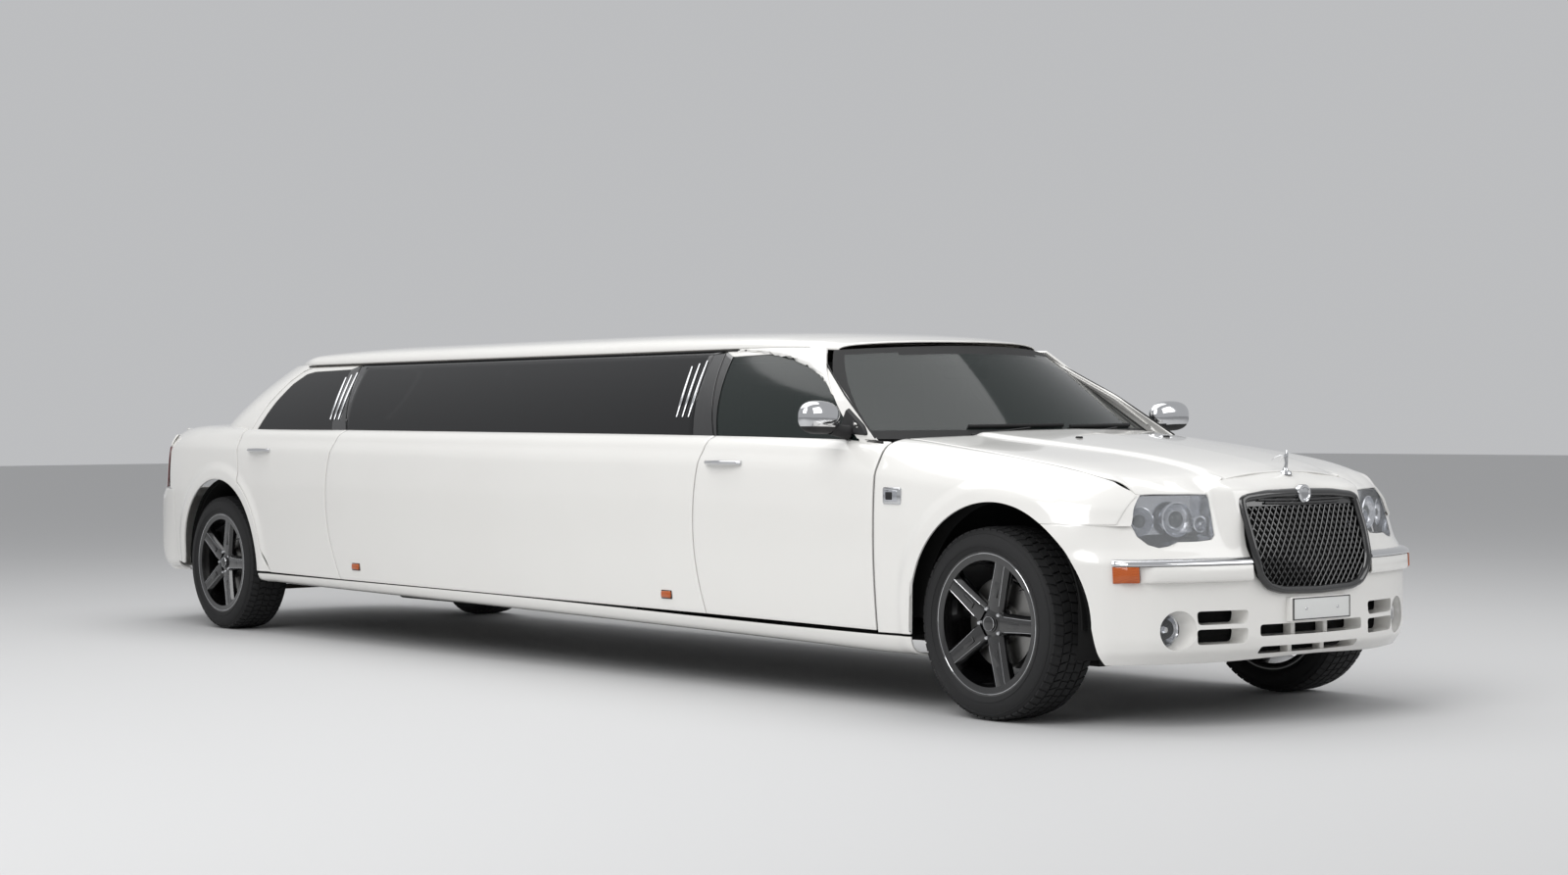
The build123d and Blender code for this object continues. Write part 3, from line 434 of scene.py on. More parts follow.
def joinPieces(name, pieces):
    # One object from several, keeping each one's materials
    work = bmesh.new()
    materials = []
    for piece in pieces:
        start = len(work.faces)
        work.from_mesh(piece.data)
        work.faces.ensure_lookup_table()
        table = []
        for material in piece.data.materials:
            if material not in materials:
                materials.append(material)
            table.append(materials.index(material))
        for face in work.faces[start:]:
            face.material_index = table[face.material_index] if table else 0
    joined = fromWork(name, work, materials)
    for piece in pieces:
        discard(piece)
    joined.name = joined.data.name = name
    return joined


def mirrored(piece, name):
    mesh = piece.data.copy()
    mesh.transform(Matrix.Diagonal((1, -1, 1, 1)))
    mesh.flip_normals()
    mesh.name = name
    twin = linked(name, mesh)
    return twin


def settle(piece, body, slotName, *nodes):
    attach(piece, body)
    if nodes:
        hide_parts(*nodes)
    return piece


def alongLine(points, count):
    # Even points along a line of points, with its corners kept
    points = np.array(points, float)
    lengths = np.concatenate([[0], np.cumsum(np.hypot(*np.diff(points, axis=0).T))])
    spots = np.linspace(0, lengths[-1], count)
    for corner in lengths[1:-1]:
        spots[np.argmin(abs(spots[1:-1] - corner)) + 1] = corner
    return np.stack([np.interp(spots, lengths, points[:, k]) for k in range(2)], axis=-1)


def arcLine(centre, radius, startDegrees, endDegrees, count=24):
    turns = np.radians(np.linspace(startDegrees, endDegrees, count))
    return [(centre[0] + radius * math.cos(a), centre[1] + radius * math.sin(a)) for a in turns]


def bowLine(start, middle, end, count=17):
    # A smooth bow through three points
    t = np.linspace(0, 1, count)[:, None]
    control = 2 * np.array(middle) - (np.array(start) + np.array(end)) / 2
    line = (1 - t) ** 2 * np.array(start) + 2 * t * (1 - t) * control + t**2 * np.array(end)
    return [tuple(p) for p in line]


def fourSided(bottom, top, left, right, across, up):
    # Grid of flat points inside four border lines, left and right running upwards
    low, high = alongLine(bottom, across), alongLine(top, across)
    near, far = alongLine(left, up), alongLine(right, up)
    u = np.linspace(0, 1, across)[None, :, None]
    v = np.linspace(0, 1, up)[:, None, None]
    ruledUp = (1 - v) * low[None] + v * high[None]
    ruledAcross = (1 - u) * near[:, None] + u * far[:, None]
    corners = ((1 - u) * (1 - v) * low[0] + u * (1 - v) * low[-1]
               + (1 - u) * v * high[0] + u * v * high[-1])
    return ruledUp + ruledAcross - corners


def gridFaces(rows, columns, start=0, closed=False):
    faces = []
    last = columns if closed else columns - 1
    for i in range(rows - 1):
        for j in range(last):
            k = (j + 1) % columns
            faces.append((start + i * columns + j, start + i * columns + k,
                          start + (i + 1) * columns + k, start + (i + 1) * columns + j))
    return faces


def gridObject(name, rows, materials):
    rows = np.asarray(rows, float)
    return makeObject(name, rows.reshape(-1, 3), gridFaces(*rows.shape[:2]), materials)


def ringObject(name, rings, materials):
    rings = np.asarray(rings, float)
    return makeObject(name, rings.reshape(-1, 3), gridFaces(*rings.shape[:2], closed=True), materials)


def bothHalves(grid):
    # A right hand grid that ends at the middle plane, with its mirror half
    return np.concatenate([grid, grid[:, -2::-1] * np.array([1, -1, 1])], axis=1)


def thickened(piece, probe, facing, thickness):
    # A sheet made thick inwards, with its probed face turned towards +x or -x
    cleanMesh(piece)
    if piece.data.polygons[probe].normal.x * facing < 0:
        piece.data.flip_normals()
    addModifier(piece, "SOLIDIFY", thickness=thickness, offset=-1)
    return applyModifiers(piece)


def panel(name, points, materials, thickness=0.010, bevel=0.0025, outward=-1):
    # A sheet with a rolled edge from a grid of surface points
    rows, columns = points.shape[:2]
    piece = gridObject(name, points, materials)
    cleanMesh(piece)
    face = piece.data.polygons[(rows // 2) * (columns - 1) + columns // 2]
    facing = face.normal[1] if outward in (-1, 1) else face.normal["xz".index(outward[-1]) * 2]
    wanted = outward if outward in (-1, 1) else (-1 if outward[0] == "-" else 1)
    if facing * wanted < 0:
        piece.data.flip_normals()
    addModifier(piece, "SOLIDIFY", thickness=thickness, offset=-1,
                material_offset_rim=0, material_offset=1 if len(materials) > 1 else 0)
    if bevel:
        addModifier(piece, "BEVEL", width=bevel, segments=2, limit_method="ANGLE",
                    angle_limit=math.radians(50))
    return shade(applyModifiers(piece), 40)


def tube(name, path, radius, materials, sides=12, closed=False, flat=1.0):
    # A round bar along points in space
    path = [Vector(p) for p in path]
    count = len(path)
    verts, faces = [], []
    normal = None
    for i, point in enumerate(path):
        if closed:
            tangent = (path[(i + 1) % count] - path[i - 1]).normalized()
        else:
            tangent = (path[min(i + 1, count - 1)] - path[max(i - 1, 0)]).normalized()
        if normal is None:
            guide = Vector((0, 0, 1)) if abs(tangent.z) < 0.9 else Vector((1, 0, 0))
            normal = tangent.cross(guide).normalized()
        normal = (normal - tangent * normal.dot(tangent)).normalized()
        side = tangent.cross(normal)
        size = radius[i] if hasattr(radius, "__len__") else radius
        for k in range(sides):
            a = 2 * math.pi * k / sides
            verts.append(point + normal * math.cos(a) * size + side * math.sin(a) * size * flat)
    rows = count + 1 if closed else count
    for i in range(rows - 1):
        for k in range(sides):
            n = (k + 1) % sides
            j = (i + 1) % count
            faces.append((i * sides + k, i * sides + n, j * sides + n, j * sides + k))
    if not closed:
        faces.append(tuple(range(sides))[::-1])
        faces.append(tuple((count - 1) * sides + k for k in range(sides)))
    return shade(cleanMesh(makeObject(name, verts, faces, materials)), 50)


def turned(name, profile, materials, centre, axis="y", steps=64):
    # A ring turned about an axis: profile points are (radius, place along the axis)
    verts, faces = [], []
    count = len(profile)
    for i in range(steps):
        a = 2 * math.pi * i / steps
        for r, h in profile:
            u, w = r * math.cos(a), r * math.sin(a)
            spot = {"y": (u, h, w), "x": (h, u, w), "z": (u, w, h)}[axis]
            verts.append(Vector(spot) + Vector(centre))
    for i in range(steps):
        n = (i + 1) % steps
        for k in range(count - 1):
            faces.append((i * count + k, i * count + k + 1, n * count + k + 1, n * count + k))
    piece = makeObject(name, verts, faces, materials)
    return shade(cleanMesh(piece, 0.00001), 35)


def slab(name, low, high, radius, materials, segments=3):
    # A box with rounded edges
    work = bmesh.new()
    bmesh.ops.create_cube(work, size=1)
    size, middle = Vector(high) - Vector(low), (Vector(high) + Vector(low)) / 2
    bmesh.ops.scale(work, verts=work.verts, vec=size)
    bmesh.ops.translate(work, verts=work.verts, vec=middle)
    if radius:
        bmesh.ops.bevel(work, geom=list(work.edges), offset=radius, segments=segments,
                        profile=0.5, affect="EDGES")
    piece = fromWork(name, work, materials)
    return shade(piece, 40)


def turnPiece(piece, matrix):
    piece.data.transform(matrix)
    return piece


# Finishes: small variations by noise in object space, sized in millimetres

def linearColour(text):
    parts = [int(text[i:i + 2], 16) / 255 for i in (1, 3, 5)]
    return [p / 12.92 if p <= 0.04045 else ((p + 0.055) / 1.055) ** 2.4 for p in parts] + [1.0]


def addNode(tree, kind, settings=None, **inputs):
    node = tree.nodes.new(kind)
    for key, value in (settings or {}).items():
        setattr(node, key, value)
    for key, value in inputs.items():
        socket = node.inputs[int(key[1:])] if key[0] == "i" and key[1:].isdigit() else node.inputs[key]
        if isinstance(value, bpy.types.NodeSocket):
            tree.links.new(value, socket)
        else:
            socket.default_value = value
    return node


def newFinish(name, colour, roughness, metallic=0.0, ior=1.5, **extra):
    material = bpy.data.materials.new(name)
    material.use_nodes = True
    tree = material.node_tree
    shader = tree.nodes["Principled BSDF"]
    shader.inputs["Base Color"].default_value = linearColour(colour)
    shader.inputs["Roughness"].default_value = roughness
    shader.inputs["Metallic"].default_value = metallic
    if not metallic:
        shader.inputs["IOR"].default_value = ior
    for key, value in extra.items():
        shader.inputs[key.replace("_", " ").title()].default_value = value
    material.diffuse_color = linearColour(colour)
    return material, tree, shader


def objectNoise(tree, millimetres, detail=3.0):
    place = addNode(tree, "ShaderNodeTexCoord")
    return addNode(tree, "ShaderNodeTexNoise", Vector=place.outputs["Object"],
                   Scale=1000.0 / millimetres, Detail=detail, Roughness=0.55).outputs["Fac"]


def tintBy(tree, shader, fac, low, high):
    ramp = addNode(tree, "ShaderNodeMix", {"data_type": "RGBA"}, Factor=fac)
    ramp.inputs[6].default_value = linearColour(low)
    ramp.inputs[7].default_value = linearColour(high)
    tree.links.new(ramp.outputs[2], shader.inputs["Base Color"])


def roughBy(tree, shader, fac, low, high):
    spread = addNode(tree, "ShaderNodeMapRange", Value=fac)
    spread.inputs["To Min"].default_value, spread.inputs["To Max"].default_value = low, high
    tree.links.new(spread.outputs[0], shader.inputs["Roughness"])


def bumpBy(tree, shader, fac, strength, millimetres):
    bump = addNode(tree, "ShaderNodeBump", Height=fac, Strength=strength, Distance=millimetres / 1000)
    tree.links.new(bump.outputs[0], shader.inputs["Normal"])


def noiseFinish(name, colour, roughness, metallic=0.0, tint=None, gloss=None, relief=None, **extra):
    # Tint, roughness and relief vary by noise: (millimetres, detail, low or strength, high or depth)
    material, tree, shader = newFinish(name, colour, roughness, metallic, **extra)
    for vary, values in ((tintBy, tint), (roughBy, gloss), (bumpBy, relief)):
        if values:
            vary(tree, shader, objectNoise(tree, *values[:2]), *values[2:])
    return material


def tintedGlass(name, colour, alpha, roughness=0.0):
    # Float glass with tint, thin pane: part see-through, glossy
    material, tree, shader = newFinish(name, colour, roughness, ior=1.52)
    shader.inputs["Alpha"].default_value = alpha
    roughBy(tree, shader, objectNoise(tree, 300.0), roughness, roughness + 0.02)
    return material


def patternFinish(name, colour, roughness, kind, socket, scale, low, high, settings=None, **extra):
    # Acrylic or hide whose tint follows a pattern laid out in object space
    material, tree, shader = newFinish(name, colour, roughness, **extra)
    place = addNode(tree, "ShaderNodeTexCoord")
    pattern = addNode(tree, kind, settings, Vector=place.outputs["Object"], Scale=scale)
    tintBy(tree, shader, pattern.outputs[socket], low, high)
    return material


def seatLeather():
    # Corrected grain hide: creased pores and a soft sheen
    material, tree, shader = newFinish("seatLeather", "#1d1b1b", 0.46, ior=1.5)
    place = addNode(tree, "ShaderNodeTexCoord")
    pores = addNode(tree, "ShaderNodeTexVoronoi", Vector=place.outputs["Object"], Scale=330.0)
    bumpBy(tree, shader, pores.outputs["Distance"], 0.35, 0.5)
    tintBy(tree, shader, objectNoise(tree, 70.0), "#181616", "#242120")
    return material


finish = {
    # Two coat white car paint, sprayed: clear gloss over a faint orange peel
    "paint": noiseFinish("whiteLacquer", "#eceae6", 0.32, Coat_Weight=1.0, Coat_Roughness=0.03,
                         tint=(900.0, 2.0, "#e9e7e3", "#efeeea"), relief=(6.0, 2.0, 0.05, 0.15)),
    # Gloss black enamel on cast aluminium wheels and moulded trim
    "black": noiseFinish("blackLacquer", "#0b0b0c", 0.22, Coat_Weight=1.0, Coat_Roughness=0.04,
                         gloss=(40.0, 3.0, 0.18, 0.30), relief=(5.0, 3.0, 0.04, 0.1)),
    # Chromium plate on moulded trim: mirror bright with a faint haze
    "chrome": noiseFinish("polishedChrome", "#d7d8da", 0.07, 1.0, gloss=(60.0, 3.0, 0.04, 0.12)),
    # Moulded black polypropylene with a fine leather grain
    "plastic": noiseFinish("grainedPlastic", "#161617", 0.62, ior=1.49,
                           gloss=(1.6, 4.0, 0.52, 0.72), relief=(1.6, 4.0, 0.25, 0.25)),
    # Flocked, matt and near black: the real liners of the arches, and painted shade in the ducts, behind the
    # openings and behind the tail lamps
    "linerAndShade": noiseFinish("blackLinerAndPaintedShade", "#0a0a0a", 0.95, ior=1.4,
                        tint=(2.5, 5.0, "#060606", "#121212"), relief=(2.5, 5.0, 0.5, 0.8)),
    # Carbon filled tread rubber, matt with a faint bloom
    "tyre": noiseFinish("tyreRubber", "#18181a", 0.78, ior=1.52, tint=(45.0, 4.0, "#121213", "#1f1f20"),
                        gloss=(45.0, 4.0, 0.68, 0.88), relief=(1.4, 3.0, 0.2, 0.2)),
    # Extruded EPDM door and glass seal
    "seal": noiseFinish("softRubber", "#0e0e0f", 0.70, ior=1.52, relief=(2.0, 3.0, 0.15, 0.15)),
    "clearGlass": tintedGlass("greenFloatGlass", "#1a2321", 0.74, 0.05),
    "darkGlass": tintedGlass("privacyGlass", "#0a0b0d", 0.90),
    "lens": tintedGlass("clearPolycarbonate", "#eef1f4", 0.10),
    # Moulded amber acrylic with a prism pattern behind it
    "amber": patternFinish("amberLens", "#b4500c", 0.10, "ShaderNodeTexChecker", "Fac", 220.0,
                           "#a9470a", "#c25f16", ior=1.49, Coat_Weight=0.6),
    # Moulded red acrylic lamp lens with fine ribs
    "red": patternFinish("redLens", "#5c0508", 0.10, "ShaderNodeTexWave", "Fac", 60.0, "#430306", "#70090d",
                         {"bands_direction": "Z"}, ior=1.49, Coat_Weight=0.8),
    # Vacuum aluminised lamp bowl
    "silver": noiseFinish("reflectorSilver", "#c9cbd0", 0.16, 1.0, gloss=(12.0, 3.0, 0.10, 0.28)),
    # Sand cast iron with a thin brown bloom
    "iron": noiseFinish("castIron", "#4a4643", 0.60, 0.8,
                        tint=(4.0, 5.0, "#3a3531", "#5a544d"), relief=(4.0, 5.0, 0.35, 0.5)),
    # Machined cast iron brake face with turning marks
    "brake": noiseFinish("brakeSteel", "#8d8c8a", 0.35, 1.0, gloss=(8.0, 4.0, 0.25, 0.5)),
    # Satin black chassis enamel with road film
    "chassis": noiseFinish("chassisPaint", "#151516", 0.55,
                           tint=(120.0, 5.0, "#111112", "#1e1d1b"), relief=(3.0, 3.0, 0.15, 0.3)),
    # Stainless pipe, heat tinted and lightly brushed
    "exhaust": noiseFinish("exhaustSteel", "#8f8b85", 0.38, 1.0,
                           tint=(160.0, 3.0, "#7c756c", "#a09c95"), gloss=(5.0, 3.0, 0.3, 0.5)),
    "leather": seatLeather(),
    # Tufted nylon carpet, short cut pile
    "carpet": noiseFinish("cutCarpet", "#1b1b1e", 0.95, ior=1.5, Sheen_Weight=0.3,
                          tint=(2.2, 5.0, "#121214", "#29292c"), relief=(2.2, 5.0, 0.7, 1.5)),
    # Woven headlining cloth on foam
    "lining": noiseFinish("paleLining", "#b9b4ab", 0.9, ior=1.5,
                          tint=(1.8, 4.0, "#aba69d", "#c4bfb6"), relief=(1.8, 4.0, 0.3, 0.4)),
    # Pressed aluminium registration plate with a white reflective film
    "plate": noiseFinish("plateWhite", "#dfe0de", 0.35, Coat_Weight=0.4, relief=(1.2, 3.0, 0.1, 0.1)),
}
coat = {name: [material] for name, material in finish.items()}
print("finishes made")

# The CAD nodes that stay are seen from below or through glass
nodeFinish = {
    "floor_pan": "chassis", "boot_floor": "carpet", "arch_liners": "linerAndShade", "front_subframe": "chassis",
    "rear_axle": "iron", "drive_shaft": "exhaust", "exhaust": "exhaust", "engine_block": "iron",
    "radiator": "plastic", "cowl": "plastic", "partition": "carpet", "bar_console": "plastic",
    "knuckle_right": "iron", "knuckle_left": "iron", "dashboard": "plastic",
    "steering_wheel": "leather", "wipers": "plastic", "front_seats": "leather",
    "lounge_seats": "leather", "hood_ornament": "chrome", "headlamps": "lens", "fog_lamps": "lens",
    "tail_lamps": "red", "rear_bumper": "paint", "boot_lid": "paint", "grille": "black",
}
for nodeName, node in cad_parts.items():
    node.data.materials.clear()
    node.data.materials.append(finish[nodeFinish.get(nodeName, "paint")])


# Panel lines in side view, right hand side, from each axle

gap = 0.0035  # half of a visible shut gap


def beltAt(x):
    return bodyPoint(x, np.full(np.shape(x), 0.715))[1]


def line(*points):
    return [tuple(p) for p in points]


def moveLine(points, dx, dz=0.0):
    return [(x + dx, z + dz) for x, z in points]


frontDoorFront = line((atFront(-0.603), 0.306), (atFront(-0.603), 1.043))
frontDoorRear = bowLine((atFront(-1.698), 0.314), (atFront(-1.765), 0.700), (atFront(-1.700), 1.066))
rearDoorFront = bowLine((atRear(1.318), 0.328), (atRear(1.204), 0.740), (atRear(1.302), 1.092))
rearArch = arches["rear"]
rearDoorRear = (line((atRear(0.585), 0.334))
                + arcLine((rearArch["x"], rearArch["z"]), rearArch["radius"] + 0.055, 8, 60, 20)
                + line((atRear(0.238), 1.00), (atRear(0.238), 1.098)))


def topOfBelt(x0, x1, count=24):
    xs = np.linspace(x0, x1, count)
    return [(float(x), float(beltAt(x))) for x in xs]


def sideGrid(bottom, top, left, right, across, up):
    flat = fourSided(bottom, top, left, right, across, up)
    return sideSkin(flat[..., 0], flat[..., 1])


def sideY(x, z):
    return float(sideSkin(np.array(x), np.array(z))[1])


def spots(points):
    # Side view points (x, z) as places on the section lines
    return [(x, float(placeAtHeight(x, z))) for x, z in points]


def spotsAcross(points):
    # Plan points (x, half width) as places on the section lines
    return [(x, float(placeAtHalf(x, y))) for x, y in points]


def skinPatch(bottom, top, left, right, across, up):
    flat = fourSided(bottom, top, left, right, across, up)
    return sectionSkin(flat[..., 0], flat[..., 1])


def housePatch(bottom, top, left, right, across, up, proud=0.0):
    flat = fourSided(bottom, top, left, right, across, up)
    points = houseSkin(flat[..., 0], flat[..., 1])
    points[..., 1] -= proud
    return points


def prism(name, flat, low, high, axis="x"):
    # A closed outline of flat points drawn out along an axis, for cutting
    count = len(flat)
    def place(p, w):
        return {"x": (w, p[0], p[1]), "y": (p[0], w, p[1]), "z": (p[0], p[1], w)}[axis]
    verts = [place(p, low) for p in flat] + [place(p, high) for p in flat]
    faces = [tuple(range(count)), tuple(range(2 * count - 1, count - 1, -1))]
    faces += [(i, i + count, (i + 1) % count + count, (i + 1) % count) for i in range(count)]
    return cleanMesh(makeObject(name, verts, faces))


def cutWith(piece, tools, operation="DIFFERENCE"):
    tool = joinPieces("cutter", tools) if len(tools) > 1 else tools[0]
    addModifier(piece, "BOOLEAN", object=tool, operation=operation, solver="EXACT")
    applyModifiers(piece)
    discard(tool)
    return piece


def softEdges(piece, width=0.002, angle=40):
    addModifier(piece, "BEVEL", width=width, segments=2, limit_method="ANGLE",
                angle_limit=math.radians(angle), harden_normals=False)
    return shade(applyModifiers(piece), 40)


def roundedOutline(points, radius, steps=5):
    # A closed outline with each corner rounded off
    result = []
    count = len(points)
    for i in range(count):
        here, before, after = (np.array(points[k % count], float) for k in (i, i - 1, i + 1))
        back, ahead = before - here, after - here
        reach = min(radius, np.hypot(*back) * 0.45, np.hypot(*ahead) * 0.45)
        start = here + back / np.hypot(*back) * reach
        end = here + ahead / np.hypot(*ahead) * reach
        for t in np.linspace(0, 1, steps):
            result.append(tuple((1 - t) ** 2 * start + 2 * t * (1 - t) * here + t * t * end))
    return result


def grown(points, amount):
    # A closed outline moved outwards from its own line
    pts = np.array(points, float)
    area = 0.5 * np.sum(pts[:, 0] * np.roll(pts[:, 1], -1) - np.roll(pts[:, 0], -1) * pts[:, 1])
    tangent = np.roll(pts, -1, axis=0) - np.roll(pts, 1, axis=0)
    normal = np.stack([tangent[:, 1], -tangent[:, 0]], axis=-1)
    normal /= np.maximum(np.hypot(normal[:, 0], normal[:, 1]), 1e-9)[:, None]
    return [tuple(p) for p in pts + normal * amount * (1 if area > 0 else -1)]


def bothWays(name, piece, bodyOf, slotName, *nodes):
    # The right hand piece and its mirror twin, each on its own body
    sides = ("Right", "Left")
    twin = mirrored(piece, name + "Left")
    piece.name = piece.data.name = name + "Right"
    for part, side in zip((piece, twin), sides):
        low = side.lower()
        settle(part, bodyOf.format(low), slotName, *[n.format(low) for n in nodes])
    return piece, twin


# Lower body: doors, stretch panel and sills

def makeLowerBody():
    paint = coat["paint"]
    front, rear = moveLine(frontDoorRear, -2 * gap), moveLine(rearDoorFront, 2 * gap)
    stretch = sideGrid(line((rear[0][0], 0.331), (front[0][0], 0.311)),
                       topOfBelt(rear[-1][0], front[-1][0]), rear, front, 140, 40)
    bothWays("stretchPanel", panel("stretchPanel", stretch, paint, 0.012), "body", "paint", "side_panels")
    front = moveLine(frontDoorFront, -2 * gap)
    door = sideGrid(line(frontDoorRear[0], front[0]), topOfBelt(frontDoorRear[-1][0], front[-1][0]),
                    frontDoorRear, front, 60, 40)
    bothWays("frontDoorSkin", panel("frontDoorSkin", door, paint, 0.012), "door_front_{}", "paint",
             "door_front_{}")
    bottom = line(rearDoorRear[0], rearDoorFront[0])
    door = sideGrid(bottom, topOfBelt(rearDoorRear[-1][0], rearDoorFront[-1][0]),
                    rearDoorRear, rearDoorFront, 60, 56)
    bothWays("rearDoorSkin", panel("rearDoorSkin", door, paint, 0.012), "door_rear_{}", "paint",
             "door_rear_{}")
    xs = np.linspace(atRear(0.462), atFront(-0.395), 150)
    sillTop = curveThrough([atRear(0.4), atFront(-3.4), atFront(-0.6), atFront(-0.3)],
                           [0.325, 0.317, 0.290, 0.294])
    s = placeAtHeight(xs, sillTop(xs))
    grid = sectionSkin(xs[None, :] * np.ones((16, 1)), np.linspace(0.0, 1, 16)[:, None] * s[None, :])
    bothWays("sill", panel("sill", grid, paint, 0.008), "body", "paint", "sills")
    # Black flanges that close the openings behind the shut lines
    for name, points, ahead, deeper in (
            ("frontDoorRear", frontDoorRear, 0, 0), ("rearDoorFront", rearDoorFront, 0, 0),
            ("frontDoorFront", frontDoorFront, 0.014, 0.020), ("rearDoorRear", rearDoorRear, 0, 0)):
        dense = alongLine(points, 40)
        outer = sideSkin(dense[:, 0], dense[:, 1])
        rows = []
        for shift, depth in ((-0.022, 0.016), (-0.012, 0.030), (0.012, 0.030), (0.022, 0.016)):
            row = outer.copy()
            row[:, 0] += shift + ahead
            row[:, 1] += depth + deeper
            rows.append(row)
        seal = panel(name + "Jamb", np.stack(rows), coat["seal"], 0.003, 0)
        bothWays(name + "Jamb", seal, "body", "trim_black")


# Front fenders

def makeFenders():
    arch = arches["front"]
    left = spots([(atFront(-0.597), 0.300)]) + spotsAcross([(atFront(-0.597), 0.772)])
    archPoints = arcLine((arch["x"], arch["z"]), arch["radius"], 180, 56.5, 40)
    foot = spots([(atFront(-0.597), 0.300), (atFront(-0.396), 0.303)] + archPoints)
    right = spots([archPoints[-1], (atFront(0.44), 0.745), (atFront(0.545), 0.746),
                   (atFront(0.552), 0.80), (atFront(0.556), 0.848)])
    top = spotsAcross([(atFront(-0.597), 0.772), (atFront(-0.2), 0.770), (atFront(0.1), 0.764),
                       (atFront(0.35), 0.740), (atFront(0.47), 0.712), (atFront(0.53), 0.692)])
    top.append(right[-1])
    grid = skinPatch(foot, top, left, right, 110, 60)
    fender = panel("fender", grid, coat["paint"], 0.008)
    bothWays("fender", fender, "body", "paint", "front_fenders")


# Hood

def makeHood():
    half = 0.766
    rows, columns = 61, 101
    v = np.linspace(-1, 1, columns)
    across = np.abs(v)[None, :]
    sideHalf = curveThrough([atFront(-0.585), atFront(-0.2), atFront(0.1), atFront(0.35), atFront(0.47),
                             atFront(0.552)],
                            [0.768, 0.766, 0.760, 0.736, 0.708, 0.684])
    rearX = atFront(-0.432 - 0.152 * across**2)
    frontX = atFront(hoodEdge(np.minimum(across * 0.684, 0.68))[..., 0])
    frontX = np.where(across > 0.985, atFront(0.552), frontX)
    xs = rearX + (frontX - rearX) * np.linspace(0, 1, rows)[:, None] ** 0.9
    ys = np.minimum(sideHalf(xs) * across, half)
    grid = topSkin(xs, ys)
    grid[..., 1] = ys * np.sign(v)[None, :]
    hood = panel("hoodSkin", grid, coat["paint"], 0.006, 0.002, outward="z")
    settle(hood, "hood", "paint", "hood")
    inner = grid[3:-3:2, 4:-4:2].copy()
    inner[..., 2] -= 0.016
    wave = np.sin(np.linspace(0, math.pi * 5, inner.shape[1])) ** 2
    inner[..., 2] -= 0.014 * wave[None, :] * np.sin(np.linspace(0, math.pi, inner.shape[0]))[:, None]
    settle(panel("hoodLining", inner, coat["plastic"], 0.004, 0, outward="z"), "hood", "trim_black")


# Front end in front view: outlines as (y, z) of the right side

lampOutline = [(-0.678, 0.846), (-0.56, 0.847), (-0.426, 0.846), (-0.430, 0.775), (-0.436, 0.702),
               (-0.451, 0.688), (-0.512, 0.683), (-0.584, 0.683), (-0.621, 0.668), (-0.659, 0.663),
               (-0.690, 0.674), (-0.714, 0.702), (-0.724, 0.748), (-0.719, 0.790), (-0.704, 0.825)]
grilleOutline = [(0.0, 0.866), (0.18, 0.862), (0.300, 0.852), (0.335, 0.838), (0.339, 0.80), (0.338, 0.70),
                 (0.330, 0.60), (0.312, 0.545), (0.268, 0.501), (0.20, 0.483), (0.0, 0.476)]
grilleLoop = grilleOutline + [(-y, z) for y, z in grilleOutline[-2:0:-1]]


noseHeights, noseHalves = np.linspace(0.2, 0.95, 76), np.linspace(0, 0.93, 156)


def noseTable():
    grid = noseSkin(np.linspace(0, 1, 181)[None, :] * np.ones((76, 1)),
                    noseHeights[:, None] * np.ones((1, 181)))
    return np.stack([np.interp(noseHalves, -row[::-1, 1], row[::-1, 0]) for row in grid])


noseXs = noseTable()


def noseX(y, z):
    # x of the nose surface at half width y and height z
    u = np.clip(np.abs(np.asarray(y, float)) / 0.93 * 155, 0, 154.999)
    v = np.clip((np.asarray(z, float) - 0.2) / 0.75 * 75, 0, 74.999)
    i, j = np.floor(v).astype(int), np.floor(u).astype(int)
    v, u = v - i, u - j
    return ((1 - v) * ((1 - u) * noseXs[i, j] + u * noseXs[i, j + 1])
            + v * ((1 - u) * noseXs[i + 1, j] + u * noseXs[i + 1, j + 1]))


grilleLean = curveThrough([0.46, 0.50, 0.60, 0.70, 0.80, 0.87], [0.826, 0.826, 0.824, 0.800, 0.765, 0.742])


def grilleX(y, z):
    # The flatter face of the grille
    return atFront(grilleLean(z) - 0.16 * np.asarray(y, float) ** 2)


# Openings of the front bumper: heights and half widths
sideSlots = ((0.380, 0.430), (0.308, 0.364))
middleSlots = ((0.330, 0.373, 0.287), (0.264, 0.292, 0.276))
fogY, fogZ = 0.620, 0.362


def sideSlot(sign, z0, z1):
    corners = [(sign * 0.548, z0), (sign * 0.345, z0), (sign * 0.338, z1), (sign * 0.553, z1)]
    return roundedOutline(corners, 0.016)


def middleSlot(z0, z1, half):
    return roundedOutline([(-half, z0), (half, z0), (half, z1), (-half, z1)], 0.014)


def fogRing(sign, wide, high):
    return [(sign * fogY + wide * math.cos(a), fogZ + high * math.sin(a))
            for a in np.linspace(0, 2 * math.pi, 41)[:-1]]


